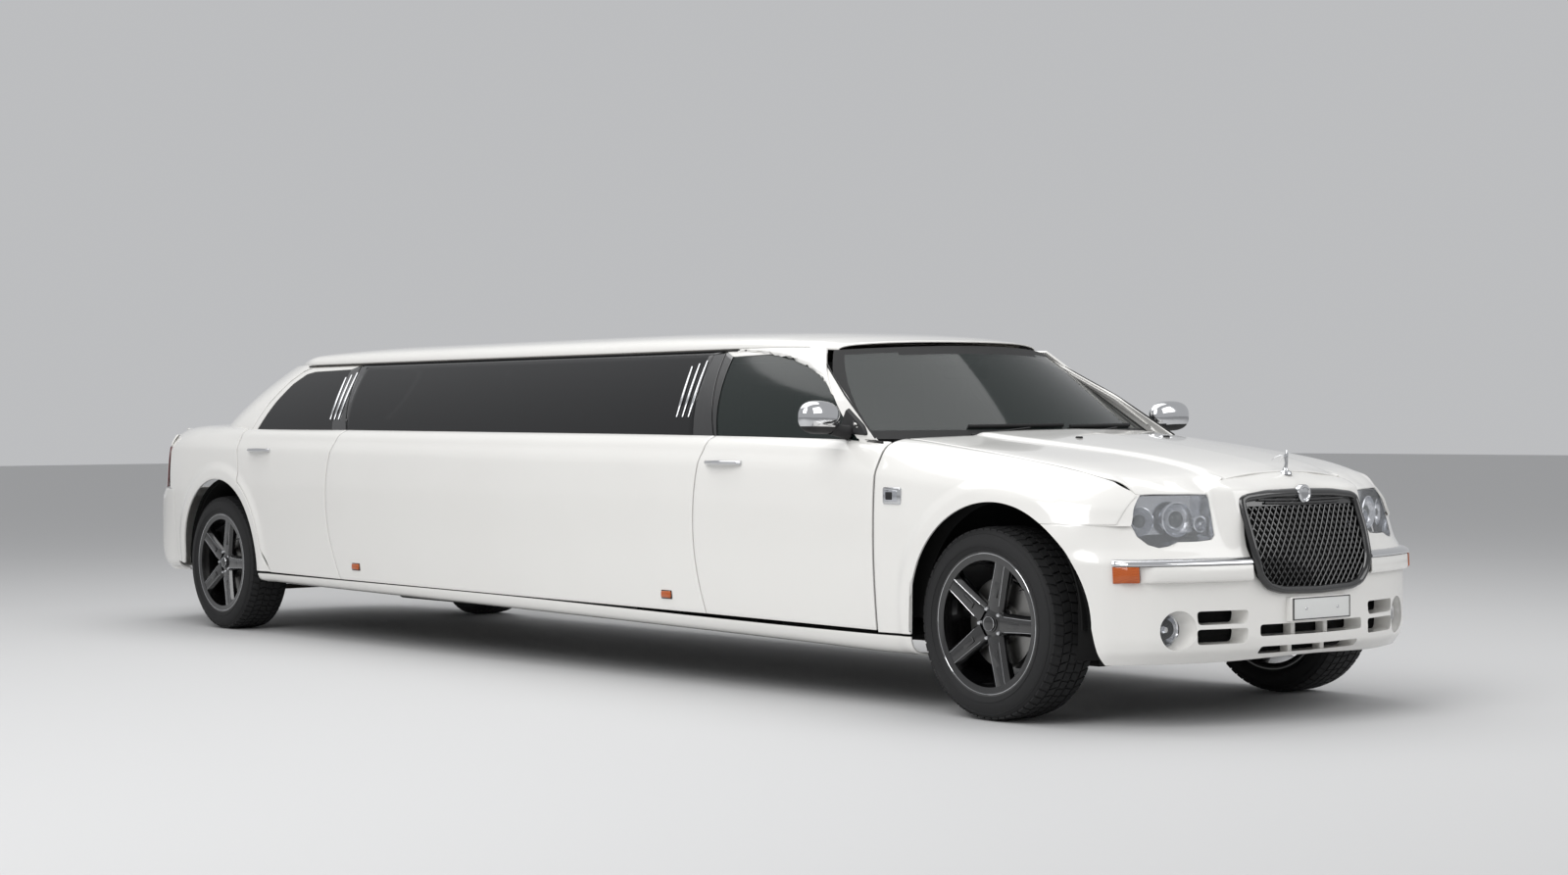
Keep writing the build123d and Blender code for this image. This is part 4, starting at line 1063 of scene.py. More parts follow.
def makeFascia():
    rows, columns = 112, 150
    t = np.linspace(0.0, 1.0, columns)
    z = np.linspace(0.238, 0.934, rows)
    grid = noseSkin(t[None, :] * np.ones((rows, 1)), z[:, None] * np.ones((1, columns)))
    grid[..., 2] += 0.012 * smooth(0.6, 1.0, t)[None, :] * (1 - smooth(0.24, 0.30, z))[:, None]
    whole = bothHalves(grid)
    fascia = gridObject("fascia", whole, coat["paint"])
    thickened(fascia, len(fascia.data.polygons) // 2, 1, 0.010)
    low, high = atFront(0.0), atFront(1.1)
    above = [(-1.1, 0.7455), (-0.700, 0.7455), (-0.700, 0.80), (-0.428, 0.80), (-0.428, 0.858),
             (-0.398, 0.873), (-0.352, 0.897), (-0.28, 0.912), (-0.15, 0.926), (0.0, 0.931)]
    above = above + [(-y, zz) for y, zz in above[-2::-1]] + [(1.1, 1.2), (-1.1, 1.2)]
    tools = [prism("above", above, low, high)]
    lamp = grown(lampOutline, 0.003)
    tools.append(prism("lampRight", lamp, low, high))
    tools.append(prism("lampLeft", [(-y, zz) for y, zz in lamp], low, high))
    cutWith(fascia, [tools[0]])
    cutWith(fascia, tools[1:])
    tools = [prism("grilleHole", grown(grilleLoop, -0.010), low, high)]
    arch = arches["front"]
    wheelHole = [(arch["x"] + arch["radius"] + 0.045, 0.1)]
    wheelHole += arcLine((arch["x"], arch["z"]), arch["radius"], 0, 180, 60) + [(atFront(-0.5), 0.1)]
    for near, far in ((-1.2, -0.5), (0.5, 1.2)):
        tools.append(prism("wheelHole", wheelHole, near, far, "y"))
    for sign in (-1, 1):
        tools.append(prism("fogHole", fogRing(sign, 0.068, 0.072), low, high))
        tools += [prism("slot", sideSlot(sign, *heights), low, high) for heights in sideSlots]
    tools += [prism("slot", middleSlot(*sizes), low, high) for sizes in middleSlots]
    cutWith(fascia, tools)
    work = bmesh.new()
    work.from_mesh(fascia.data)
    bmesh.ops.remove_doubles(work, verts=work.verts, dist=0.0004)
    work.to_mesh(fascia.data)
    work.free()
    softEdges(fascia, 0.0022, 55)
    settle(fascia, "body", "bumper", "front_bumper")
    # A near-black sheet behind every opening: painted shade for the dark depth of the openings
    t = np.linspace(0.25, 1.0, 40)
    z = np.linspace(0.25, 0.84, 24)
    back = noseSkin(t[None, :] * np.ones((24, 1)), z[:, None] * np.ones((1, 40)))
    back[..., 0] -= 0.085
    back[..., 1] += 0.02 * (1 - smooth(0.5, 0.9, t))[None, :]
    whole = bothHalves(back)
    shadeSheet = gridObject("frontShadeSheet", whole, coat["linerAndShade"])
    settle(shade(cleanMesh(shadeSheet)), "body", "trim_black")


def ductWalls(name, outline, depth, draft, material):
    # Walls that run back from an opening in the nose
    middle = np.mean(outline, axis=0)
    rows = []
    for step, back in ((0.0, 0.004), (0.5, depth / 2), (1.0, depth)):
        ring = []
        for y, z in outline:
            yy, zz = y + (middle[0] - y) * draft * step, z + (middle[1] - z) * draft * step
            ring.append((float(noseX(y, z)) - back, yy, zz))
        rows.append(ring)
    return shade(cleanMesh(ringObject(name, rows, [material])))


def makeFrontDetails():
    parts = []
    for sign in (-1, 1):
        for heights in sideSlots:
            parts.append(ductWalls("slotWall", sideSlot(sign, *heights), 0.07, 0.12, finish["paint"]))
    for z0, z1, half in middleSlots:
        parts.append(ductWalls("slotWall", middleSlot(z0, z1, half), 0.07, 0.05, finish["paint"]))
        for y in (-0.092, 0.092):
            face = float(noseX(abs(y), (z0 + z1) / 2))
            parts.append(slab("slotBar", (face - 0.075, y - 0.012, z0 - 0.008),
                              (face - 0.035, y + 0.012, z1 + 0.008), 0.004, coat["paint"]))
    settle(joinPieces("bumperDucts", parts), "body", "bumper")
    # Fog lamps in round funnels
    for sign, side in ((-1, "Right"), (1, "Left")):
        funnel = ductWalls("funnel", fogRing(sign, 0.069, 0.073), 0.075, 0.22, finish["paint"])
        centre = (float(noseX(fogY, fogZ)) - 0.062, sign * fogY, fogZ)
        bowl = turned("fogBowl", [(0.055, 0.0), (0.050, -0.012), (0.034, -0.036), (0.006, -0.046),
                                  (0.0, -0.046)],
                      coat["silver"], centre, "x", 48)
        rim = turned("fogRim", [(0.052, 0.0), (0.056, 0.006), (0.060, 0.0), (0.058, -0.01), (0.052, -0.006)],
                     coat["chrome"], centre, "x", 48)
        bulb = turned("fogShield", [(0.0, 0.0), (0.010, -0.002), (0.014, -0.010), (0.013, -0.030)],
                      coat["chrome"], centre, "x", 32)
        lens = turned("fogLens", [(0.0, 0.012), (0.02, 0.011), (0.04, 0.008), (0.053, 0.002)],
                      coat["lens"], centre, "x", 48)
        settle(joinPieces("fogHousing" + side, [funnel, bowl, rim, bulb]), "body", "lamp", "fog_lamps")
        settle(lens, "body", "lamp")
        lens.name = "fogLens" + side
    # Number plate, blank, with its two screws
    x = atFront(0.842)
    plate = slab("plateSheet", (x, -0.157, 0.387), (x + 0.003, 0.157, 0.463), 0.0012, coat["plate"])
    rim = [slab("plateEdge", (x - 0.001, -0.160, z0), (x + 0.0045, 0.160, z0 + 0.004), 0.001,
                coat["black"]) for z0 in (0.384, 0.462)]
    rim += [slab("plateEdge", (x - 0.001, y0, 0.384), (x + 0.0045, y0 + 0.004, 0.466), 0.001,
                 coat["black"]) for y0 in (-0.161, 0.157)]
    rim += [slab("plateCarrier", (atFront(0.79), -0.165, 0.378), (x - 0.001, 0.165, 0.470), 0.006,
                 coat["paint"])]
    rim += [turned("plateScrew", [(0.0, 0.007), (0.004, 0.0068), (0.0055, 0.004), (0.0055, 0.002)],
                   coat["chrome"], (x, y, 0.425), "x", 20) for y in (-0.089, 0.089)]
    settle(joinPieces("numberPlate", [plate] + rim), "body", "bumper")
    # Bumper strips: chrome above, body colour below, amber at the outer end
    section = [(0.000, 0.534), (0.020, 0.538), (0.026, 0.546), (0.027, 0.592), (0.024, 0.596)]
    chromeSection = [(0.010, 0.5975), (0.027, 0.598), (0.030, 0.603), (0.027, 0.613), (0.016, 0.621),
                     (0.0, 0.6225)]

    def stripGrid(shape, t0, t1, count):
        rows = []
        t = np.linspace(t0, t1, count)
        for out, z in shape:
            row = noseSkin(t, np.full(count, z))
            ahead = noseSkin(np.clip(t + 0.01, 0, 1), np.full(count, z)) - noseSkin(t - 0.01,
                                                                                    np.full(count, z))
            normal = np.stack([ahead[:, 1], -ahead[:, 0], np.zeros(count)], axis=-1)
            normal /= np.linalg.norm(normal, axis=1)[:, None]
            normal *= np.where(normal[:, :1] < 0, -1, 1)
            row = row + normal * (out * (0.35 + 0.65 * smooth(t0, t0 + 0.05, t)))[:, None]
            rows.append(row)
        return np.stack(rows)

    for name, shape, t0, t1, material, slotName in (
            ("stripBody", section, 0.388, 0.738, "paint", "bumper"),
            ("stripChrome", chromeSection, 0.312, 0.736, "chrome", "chrome"),
            ("stripAmber", section, 0.312, 0.385, "amber", "tail_lamp")):
        grid = stripGrid(shape, t0, t1, 60)
        strip = gridObject(name, grid, [finish[material]])
        thickened(strip, min(100, len(strip.data.polygons) - 1), 1, 0.006)
        softEdges(strip, 0.0015, 40)
        bothWays(name, strip, "body", slotName)


# Grille: gloss black frame, diamond mesh and a bare round boss

def makeGrille():
    loop = roundedOutline(grilleLoop, 0.02, 3)
    rings = []
    for inset, out in ((-0.001, -0.004), (0.002, 0.007), (0.008, 0.012), (0.018, 0.012), (0.028, 0.004),
                       (0.031, -0.012), (0.031, -0.035)):
        ring = []
        for y, z in grown(loop, -inset):
            ring.append((float(grilleX(y, z)) + out, y, z))
        rings.append(ring)
    frameRing = shade(cleanMesh(ringObject("grilleFrame", rings, coat["black"])), 60)
    # Mesh of two families of bars, clipped to the frame
    hole = np.array(grown(loop, -0.024))
    pitch, bars = 0.024, []

    def crossings(origin, direction):
        hits = []
        for k in range(len(hole)):
            a, b = hole[k], hole[(k + 1) % len(hole)]
            edge = b - a
            det = direction[0] * -edge[1] + direction[1] * edge[0]
            if abs(det) < 1e-12:
                continue
            diff = a - origin
            along = (diff[0] * -edge[1] + diff[1] * edge[0]) / det
            part = (direction[0] * diff[1] - direction[1] * diff[0]) / det
            if 0 <= part < 1:
                hits.append(along)
        return sorted(hits)

    lean = math.radians(52)
    for slant in (1, -1):
        direction = np.array([math.cos(lean), slant * math.sin(lean)])
        for n in range(-24, 25):
            origin = np.array([n * pitch / math.sin(lean), 0.67])
            hits = crossings(origin, direction)
            if len(hits) < 2 or hits[-1] - hits[0] < 0.01:
                continue
            path = []
            for k in np.linspace(hits[0], hits[-1], 7):
                y, z = origin + direction * k
                path.append((float(grilleX(y, z)) - 0.014 + 0.002 * slant, y, z))
            bars.append(tube("bar", path, 0.0036, coat["black"], 6))
    upper = []
    for k, z in enumerate((0.836, 0.824, 0.813)):
        reach = 0.27 - 0.03 * k
        path = [(float(grilleX(y, z)) - 0.002, y, z + 0.004 * (y / 0.25) ** 2)
                for y in np.linspace(-reach, reach, 21)]
        upper.append(tube("upperBar", path, 0.0042, coat["black"], 8))
    band = []
    for y in np.linspace(-0.312, 0.312, 25):
        band.append([(float(grilleX(y, z)) - 0.010, y, z) for z in (0.803, 0.815, 0.845)])
    bandPlate = gridObject("grilleBand", band, coat["black"])
    addModifier(bandPlate, "SOLIDIFY", thickness=0.006, offset=0)
    applyModifiers(bandPlate)
    cleanMesh(bandPlate)
    grille = joinPieces("grilleMesh", [frameRing, bandPlate] + bars + upper)
    settle(grille, "body", "grille_black", "grille")
    centre = (float(grilleX(0, 0.845)) + 0.006, 0, 0.846)
    boss = turned("grilleBoss", [(0.0, 0.010), (0.020, 0.009), (0.023, 0.006), (0.026, 0.012), (0.030, 0.013),
                                 (0.034, 0.009), (0.035, 0.0), (0.034, -0.012)],
                  coat["chrome"], centre, "x", 48)
    settle(boss, "body", "chrome")


# Headlamps: clear lens, bowl, projector and round reflector

def outlinePanel(name, outline, xOf, materials, thickness, rowsPitch=0.012):
    # A filled outline in front view, laid on a surface
    work = bmesh.new()
    ring = [work.verts.new((0, y, z)) for y, z in outline]
    work.faces.new(ring)
    bmesh.ops.triangulate(work, faces=work.faces)
    low, high = np.min(outline, axis=0), np.max(outline, axis=0)
    for axis in (1, 2):
        for at in np.arange(low[axis - 1] + rowsPitch, high[axis - 1], rowsPitch):
            sliceAcross(work, axis, at)
    coords = np.array([v.co[:] for v in work.verts])
    xs = xOf(coords[:, 1], coords[:, 2])
    for vert, x in zip(work.verts, xs):
        vert.co.x = x
    bmesh.ops.recalc_face_normals(work, faces=work.faces)
    if sum(f.normal.x for f in work.faces) < 0:
        bmesh.ops.reverse_faces(work, faces=work.faces)
    piece = fromWork(name, work, materials)
    if thickness:
        addModifier(piece, "SOLIDIFY", thickness=thickness, offset=-1)
        applyModifiers(piece)
    return shade(piece, 40)


def makeHeadlamps():
    loop = roundedOutline(lampOutline, 0.012, 3)
    lens = outlinePanel("lampLens", grown(loop, 0.003), lambda y, z: noseX(y, z) + 0.001, coat["lens"], 0.004)
    bothWays("lampLens", lens, "body", "lamp", "headlamps")
    back = outlinePanel("lampBack", loop, lambda y, z: noseX(np.clip(np.abs(y), 0.45, 0.7), 0.76) - 0.075,
                        coat["silver"], 0.003, 0.02)
    rows = []
    for step in (0.002, 0.04, 0.08):
        rows.append([(float(noseX(y, z)) - step, y, z) for y, z in loop])
    wall = ringObject("lampWall", rows, coat["silver"])
    shade(cleanMesh(wall))
    parts = [back, wall]
    for y, z, radius, turn, depth in ((-0.676, 0.755, 0.050, -28, 0.034), (-0.545, 0.760, 0.060, -16, 0.030),
                                      (-0.468, 0.742, 0.026, -12, 0.020)):
        face = float(noseX(abs(y), z)) - depth
        place = Matrix.Translation((face, y, z)) @ Matrix.Rotation(math.radians(turn), 4, "Z")
        bowl = turned("lampBowl", [(radius + 0.003, -0.012), (radius + 0.004, 0.003), (radius, 0.006),
                                   (radius * 0.96, 0.0), (radius * 0.84, -0.012), (radius * 0.62, -0.024),
                                   (radius * 0.40, -0.030)], coat["silver"], (0, 0, 0), "x", 56)
        eye = turned("lampEye", [(0.0, 0.006), (radius * 0.20, 0.004), (radius * 0.36, -0.004),
                                 (radius * 0.44, -0.016), (radius * 0.46, -0.032)],
                     [finish["clearGlass"] if radius > 0.04 else finish["silver"]], (0, 0, 0), "x", 40)
        ring = turned("lampRing", [(radius * 0.44, -0.012), (radius * 0.50, -0.006), (radius * 0.56, -0.012),
                                   (radius * 0.56, -0.026)], coat["chrome"], (0, 0, 0), "x", 40)
        for part in (bowl, eye, ring):
            parts.append(turnPiece(part, place))
    housing = joinPieces("lampHousing", parts)
    # Painted flange behind the fender's front corner
    z = np.linspace(0.74, 0.868, 12)[:, None] * np.ones((1, 16))
    x = atFront(0.38) + (0.196 - 0.16 * (z - 0.745)) * np.linspace(0, 1, 16)[None, :]
    flange = sideSkin(x, z)
    flange[..., 1] += 0.006
    bothWays("fenderFlange", panel("fenderFlange", flange, coat["paint"], 0.003, 0), "body", "paint")
    bothWays("lampHousing", housing, "body", "lamp")


makeLowerBody()
makeFenders()
makeHood()
print("fenders and hood made")
makeFascia()
makeFrontDetails()
makeGrille()
makeHeadlamps()
print("front end made")


# Rear quarters, boot lid, tail lamps and rear bumper

def makeQuarters():
    arch = arches["rear"]
    paint = coat["paint"]
    # Above and behind the wheel, from the rear door to the lamps
    startX = atRear(0.238) - 2 * gap
    archPoints = arcLine((arch["x"], arch["z"]), arch["radius"], 52, 174, 44)
    doorEdge = arcLine((arch["x"], arch["z"]), arch["radius"] + 0.050, 60, 52, 4)
    front = spots([archPoints[0], (doorEdge[0][0] - 2 * gap, doorEdge[0][1]), (startX, 0.98),
                   (startX, 1.096)])
    foot = spots(archPoints + [(atRear(-0.432), 0.345), (atRear(-0.545), 0.352)])
    back = spots([(atRear(-0.545), 0.352), (atRear(-0.555), 0.755), (atRear(-0.625), 0.765),
                  (atRear(-0.690), 1.005), (atRear(-0.700), 1.06)])
    back[-1] = spotsAcross([(atRear(-0.70), 0.700)])[0]
    top = [front[-1]] + spotsAcross([(atRear(0.1), 0.842), (atRear(-0.15), 0.800), (atRear(-0.45), 0.718),
                                     (atRear(-0.60), 0.700), (atRear(-0.70), 0.700)])
    top[0] = (startX, float(placeAtHalf(startX, 0.872)))
    front[-1] = top[0]
    grid = skinPatch(foot, top, front, back, 110, 64)
    bothWays("quarter", panel("quarter", grid, paint, 0.010), "body", "paint", "quarter_panels")
    # Lip between the rear door and the wheel arch
    low = arcLine((arch["x"], arch["z"]), arch["radius"], 59, -7, 30)
    high = arcLine((arch["x"], arch["z"]), arch["radius"] + 0.055 - 1.6 * gap, 60, 8, 26)
    high.append((atRear(0.585) - 1.6 * gap, 0.336))
    lip = skinPatch(spots(low), spots(high), spots([low[0], high[0]]), spots([low[-1], high[-1]]), 50, 6)
    bothWays("archLip", panel("archLip", lip, paint, 0.010, outward=-1), "body", "paint")
    # Tub inside the arch, near black: partly the real dark tub, partly painted shade inside the arch
    ring = arcLine((arch["x"], arch["z"]), arch["radius"] + 0.005, -6, 186, 60)
    tub = np.array([[(x, y, z) for x, z in ring] for y in (-0.885, -0.80, -0.70, -0.63)])
    bothWays("rearTub", panel("rearTub", tub, coat["linerAndShade"], 0.002, 0), "body", "trim_black")
    # Deck between the cabin and the boot lid
    x = np.linspace(atRear(-0.700), atRear(0.10), 40)[:, None]
    edge = curveThrough([atRear(-0.70), atRear(-0.60), atRear(-0.45), atRear(-0.15), atRear(0.1)],
                        [0.700, 0.700, 0.718, 0.800, 0.842])(x)
    u = np.linspace(-1, 1, 81)[None, :]
    deck = topSkin(x + 0 * u, np.abs(u) * edge)
    deck[..., 1] = u * edge
    deck[..., 2] -= 0.0015
    settle(panel("rearDeck", deck, paint, 0.006, 0, outward="z"), "body", "paint")


def makeTail():
    rows, columns = 60, 90
    t = np.linspace(0.02, 1.0, columns)
    z = np.linspace(0.30, 0.760, rows)
    grid = tailSkin(t[None, :] * np.ones((rows, 1)), z[:, None] * np.ones((1, columns)))
    whole = bothHalves(grid)
    bumper = gridObject("rearBumperSkin", whole, coat["paint"])
    thickened(bumper, rows * columns, -1, 0.010)
    arch = arches["rear"]
    wheelHole = [(arch["x"] + arch["radius"], 0.1)]
    wheelHole += arcLine((arch["x"], arch["z"]), arch["radius"], 0, 180,
                         60) + [(arch["x"] - arch["radius"] + 0.04, 0.1)]
    tools = [prism("wheelHole", wheelHole, near, far, "y") for near, far in ((-1.2, -0.5), (0.5, 1.2))]
    ahead = [(atRear(-0.40), 0.2), (atRear(-0.545), 0.2), (atRear(-0.5585), 0.80), (atRear(-0.40), 0.80)]
    tools.append(prism("aheadCut", ahead, -1.2, 1.2, "y"))
    for sign in (-1, 1):
        slot = [(sign * 0.38, 0.25), (sign * 0.56, 0.25), (sign * 0.55, 0.345), (sign * 0.39, 0.345)]
        tools.append(prism("tailpipeHole", roundedOutline(slot, 0.02), atRear(-1.3), atRear(-0.9)))
    cutWith(bumper, tools)
    softEdges(bumper, 0.002, 55)
    settle(bumper, "body", "bumper", "rear_bumper")
    # Chrome strip across the bumper, and the number plate on the boot lid
    count = 70
    t = np.linspace(0.36, 1.0, count)
    rowsStrip = []
    for out, height in ((0.0, 0.640), (0.014, 0.642), (0.018, 0.650), (0.016, 0.662), (0.0, 0.666)):
        row = tailSkin(t, np.full(count, height))
        row[:, 0] -= out
        rowsStrip.append(row)
    grid = np.stack(rowsStrip)
    whole = bothHalves(grid)
    strip = gridObject("rearStrip", whole, coat["chrome"])
    settle(shade(cleanMesh(strip), 60), "body", "chrome")
    x = atRear(-1.030)
    plate = slab("rearPlate", (x - 0.003, -0.18, 0.822), (x, 0.18, 0.928), 0.001, coat["plate"])
    rim = slab("rearPlateBack", (x, -0.186, 0.816), (x + 0.012, 0.186, 0.934), 0.003, coat["black"])
    settle(joinPieces("rearPlate", [plate, rim]), "boot_lid", "trim_black")
    for sign, side in ((-1, "Right"), (1, "Left")):
        tips = []
        for y in (sign * 0.445, sign * 0.495):
            tips.append(turned("tip", [(0.022, 0.10), (0.022, 0.0), (0.024, -0.004), (0.027, -0.002),
                                       (0.0275, 0.10)],
                               coat["chrome"], (atRear(-1.085), y, 0.290), "x", 32))
        settle(joinPieces("exhaustTips" + side, tips), "body", "chrome")


lidHalf = 0.690


def makeBootLid():
    rows, columns = 44, 81
    v = np.linspace(-1, 1, columns)
    backX = curveThrough([0, 0.42, 0.60, 0.685], [atRear(-1.010), atRear(-0.980), atRear(-0.925),
                                                  atRear(-0.845)])
    ys = np.abs(v) * (lidHalf - 0.004)
    frac = np.linspace(0, 1, rows)[:, None]
    x = atRear(-0.706) + (backX(ys)[None, :] - atRear(-0.706)) * frac
    y = np.ones((rows, 1)) * ys[None, :]
    deck = topSkin(x, y)
    deck[..., 2] += 0.010 * smooth(0.75, 1.0, frac)
    deck[..., 1] = y * np.sign(v)[None, :]
    lipZ = deck[-1, :, 2]
    down = []
    for f in np.linspace(0, 1, 26)[1:]:
        z = lipZ + (0.803 - lipZ) * f
        base = deck[-1, :, 0]
        plan = atRear(-1.036 + 0.20 * (ys / 0.69) ** 2.2 * 0.62
                      + 0.30 * np.maximum(z - 0.88, 0) * (ys / 0.69) ** 5)
        out = base + (plan - base) * smooth(0, 0.25, f) * 0.9
        recess = 0.020 * (1 - smooth(0.20, 0.235, np.abs(ys))) * smooth(0.25, 0.32,
                                                                        f) * (1 - smooth(0.86, 0.92, f))
        down.append(np.stack([out + recess, deck[-1, :, 1], z], axis=-1))
    grid = np.concatenate([deck, np.stack(down)])
    lid = panel("bootLidSkin", grid, coat["paint"], 0.008, 0.002, outward="z")
    settle(lid, "boot_lid", "paint", "boot_lid")
    lining = grid[2:-2:2, 3:-3:2] + np.array([0.016, 0, -0.014])
    settle(panel("bootLidLining", lining, coat["plastic"], 0.003, 0, outward="z"), "boot_lid", "trim_black")
    path = [(grid[52, j, 0] - 0.012, grid[52, j, 1], 0.965) for j in range(22, 59)]
    bar = tube("bootBar", path, 0.009, coat["chrome"], 10)
    settle(bar, "boot_lid", "chrome")


def makeTailLamps():
    rows, columns = 34, 40
    z = np.linspace(0.770, 1.000, rows)[:, None] * np.ones((1, columns))
    t = np.linspace(0.155, 0.545, columns)[None, :] * np.ones((rows, 1))
    grid = tailSkin(t, z)
    keep = -grid[..., 1]
    grid[..., 1] = -np.maximum(keep, lidHalf + 0.006)
    lamp = panel("tailLamp", grid, coat["red"], 0.006, 0.0015)
    bothWays("tailLamp", lamp, "body", "tail_lamp", "tail_lamps")
    # Near-black back behind the red lens: painted shade inside the lamp
    inner = grid + np.array([0.03, 0.03, 0])
    back = panel("tailLampBack", inner, coat["linerAndShade"], 0.004, 0)
    bothWays("tailLampBack", back, "body", "trim_black")
    edge = [tuple(p) for p in grid[0, :, :] + np.array([-0.002, -0.001, 0.0])]
    bothWays("tailLampTrim", tube("tailLampTrim", edge, 0.004, coat["chrome"], 8), "body", "chrome")
    # Painted cap between the lamp and the deck's edge
    z = np.linspace(1.004, 1.068, 12)[:, None] * np.ones((1, columns))
    cap = tailSkin(t[:12], z)
    cap[..., 1] = -np.maximum(-cap[..., 1], lidHalf + 0.006)
    bothWays("tailLampCap", panel("tailLampCap", cap, coat["paint"], 0.008), "body", "paint")


# Glasshouse side, from the windscreen pillar to the rear pillar: each piece by its four lines

frontShut = [(-0.680, 1.054), (-0.953, 1.227), (-1.216, 1.378), (-1.376, 1.428)]
doorTop, cantTop = 1.4300, 1.4420


def slantLine(x0, z0, x1, z1, place=atFront, bow=0.0, count=9):
    # A pillar line that leans back, with a slight bow
    t = np.linspace(0, 1, count)
    return [(place(x0 + (x1 - x0) * k) + bow * 4 * k * (1 - k), z0 + (z1 - z0) * k) for k in t]


def beltZ(x):
    return float(beltAt(x)) + 0.003


def makeGlasshouse():
    paint, black, dark = coat["paint"], coat["black"], coat["darkGlass"]

    def piece(name, bottom, top, left, right, materials, body, slotName, *nodes, across=30, up=24,
              proud=0.0, thick=0.006, bevel=0.0015):
        points = housePatch(bottom, top, left, right, across, up, proud)
        skin = panel(name, points, materials, thick, bevel)
        return bothWays(name, skin, body, slotName, *nodes)

    # Pillar lines, low to high
    doorBack = slantLine(-1.700, beltZ(atFront(-1.70)), -1.925, doorTop, atFront, -0.012)
    glassFrontBack = slantLine(-1.686, beltZ(atFront(-1.69)) + 0.006, -1.852, 1.406, atFront, -0.010)
    stretchFront = slantLine(-1.856, beltZ(atFront(-1.86)) + 0.006, -2.000, 1.416, atFront, -0.008)
    stretchRear = slantLine(1.283, beltZ(atRear(1.283)) + 0.006, 1.132, 1.416, atRear, -0.006)
    rearDoorLine = slantLine(1.302, beltZ(atRear(1.302)), 1.060, doorTop, atRear, -0.010)
    rearGlassFront = slantLine(1.146, beltZ(atRear(1.146)) + 0.006, 0.982, 1.410, atRear, -0.006)
    rearGlassBack = [(atRear(0.305), beltZ(atRear(0.305)) + 0.006), (atRear(0.385), 1.243),
                     (atRear(0.452), 1.340),
                     (atRear(0.530), 1.392), (atRear(0.600), 1.404)]
    rearDoorBack = [(atRear(0.238), beltZ(atRear(0.238))), (atRear(0.318), 1.235), (atRear(0.400), 1.350),
                    (atRear(0.470), 1.405), (atRear(0.540), doorTop)]
    glassTopFront = [(atFront(-1.852), 1.406), (atFront(-1.540), 1.414), (atFront(-1.340), 1.400),
                     (atFront(-1.215), 1.362), (atFront(-1.035), 1.254)]
    glassNose = (atFront(-0.760), beltZ(atFront(-0.76)) + 0.004)
    shutTop = [(atFront(-1.925), doorTop)] + [(atFront(x), z) for x, z in frontShut[::-1]]

    def between(first, second):
        # The four lines of a strip between two upright lines
        return line(first[0], second[0]), line(first[-1], second[-1]), first, second

    # Front door: pillar cover, glass and frame
    bottom, top, left, right = between(moveLine(doorBack, gap), glassFrontBack)
    piece("frontPillarCover", bottom, top, left, right, black, "door_front_{}", "trim_black", proud=0.001)
    low = [glassFrontBack[0], (atFront(-0.9), beltZ(atFront(-0.9)) + 0.006), glassNose]
    high = glassTopFront + [(atFront(-0.90), 1.166)]
    end = [glassNose, (atFront(-0.805), 1.105), (atFront(-0.90), 1.166)]
    piece("frontDoorGlass", low, high, glassFrontBack, end, coat["clearGlass"], "door_front_{}",
          "clear_glass", "glass_front_{}", across=50, proud=-0.004, thick=0.004, bevel=0)
    # Frame as a strip between the glass line and the shut line
    inner = glassTopFront + [(atFront(-0.90), 1.166), (atFront(-0.805), 1.105), glassNose]
    outer = [(x + gap, z - gap) if i else (x, z) for i, (x, z) in enumerate(shutTop)]
    outer[-1] = (atFront(-0.690), beltZ(atFront(-0.69)))
    piece("frontDoorFrame", inner, outer, line(inner[0], outer[0]), line(inner[-1], outer[-1]), paint,
          "door_front_{}", "paint", across=70, up=6, thick=0.016)
    # Long window and black pillars between the doors
    stretchTop = line(stretchFront[-1], stretchRear[-1])
    bottom, top, left, right = between(moveLine(doorBack, -gap), stretchFront)
    piece("pillarFront", bottom, top, left, right, black, "body", "trim_black")
    piece("stretchGlass", line(stretchFront[0], stretchRear[0]), stretchTop, stretchFront, stretchRear, dark,
          "body", "dark_glass", "side_windows", across=90, proud=0.001, thick=0.005, bevel=0.001)
    bottom, top, left, right = between(stretchRear, moveLine(rearDoorLine, gap))
    piece("pillarRear", bottom, top, left, right, black, "body", "trim_black")
    top = line((atFront(-1.93), doorTop + 0.004), (atRear(1.06), doorTop + 0.004))
    bottom = line(stretchFront[-1], stretchRear[-1])
    piece("railBlack", bottom, top, line(bottom[0], top[0]), line(bottom[-1], top[-1]), black, "body",
          "trim_black", across=60, up=4)
    # Rear door
    bottom, top, left, right = between(moveLine(rearDoorLine, -gap), rearGlassFront)
    piece("rearPillarCover", bottom, top, left, right, black, "door_rear_{}", "trim_black", proud=0.001)
    piece("rearDoorGlass", line(rearGlassFront[0], rearGlassBack[0]),
          line(rearGlassFront[-1], rearGlassBack[-1]),
          rearGlassFront, rearGlassBack, dark, "door_rear_{}", "dark_glass", "glass_rear_{}", across=40,
          proud=-0.003, thick=0.004, bevel=0)
    inner = [rearGlassFront[-1]] + rearGlassBack[::-1]
    outer = [rearDoorLine[-1]] + rearDoorBack[::-1]
    outer = [(x + gap, z - gap) for x, z in outer]
    piece("rearDoorFrame", inner, outer, line(inner[0], outer[0]), line(inner[-1], outer[-1]), paint,
          "door_rear_{}", "paint", across=60, up=6, thick=0.016)
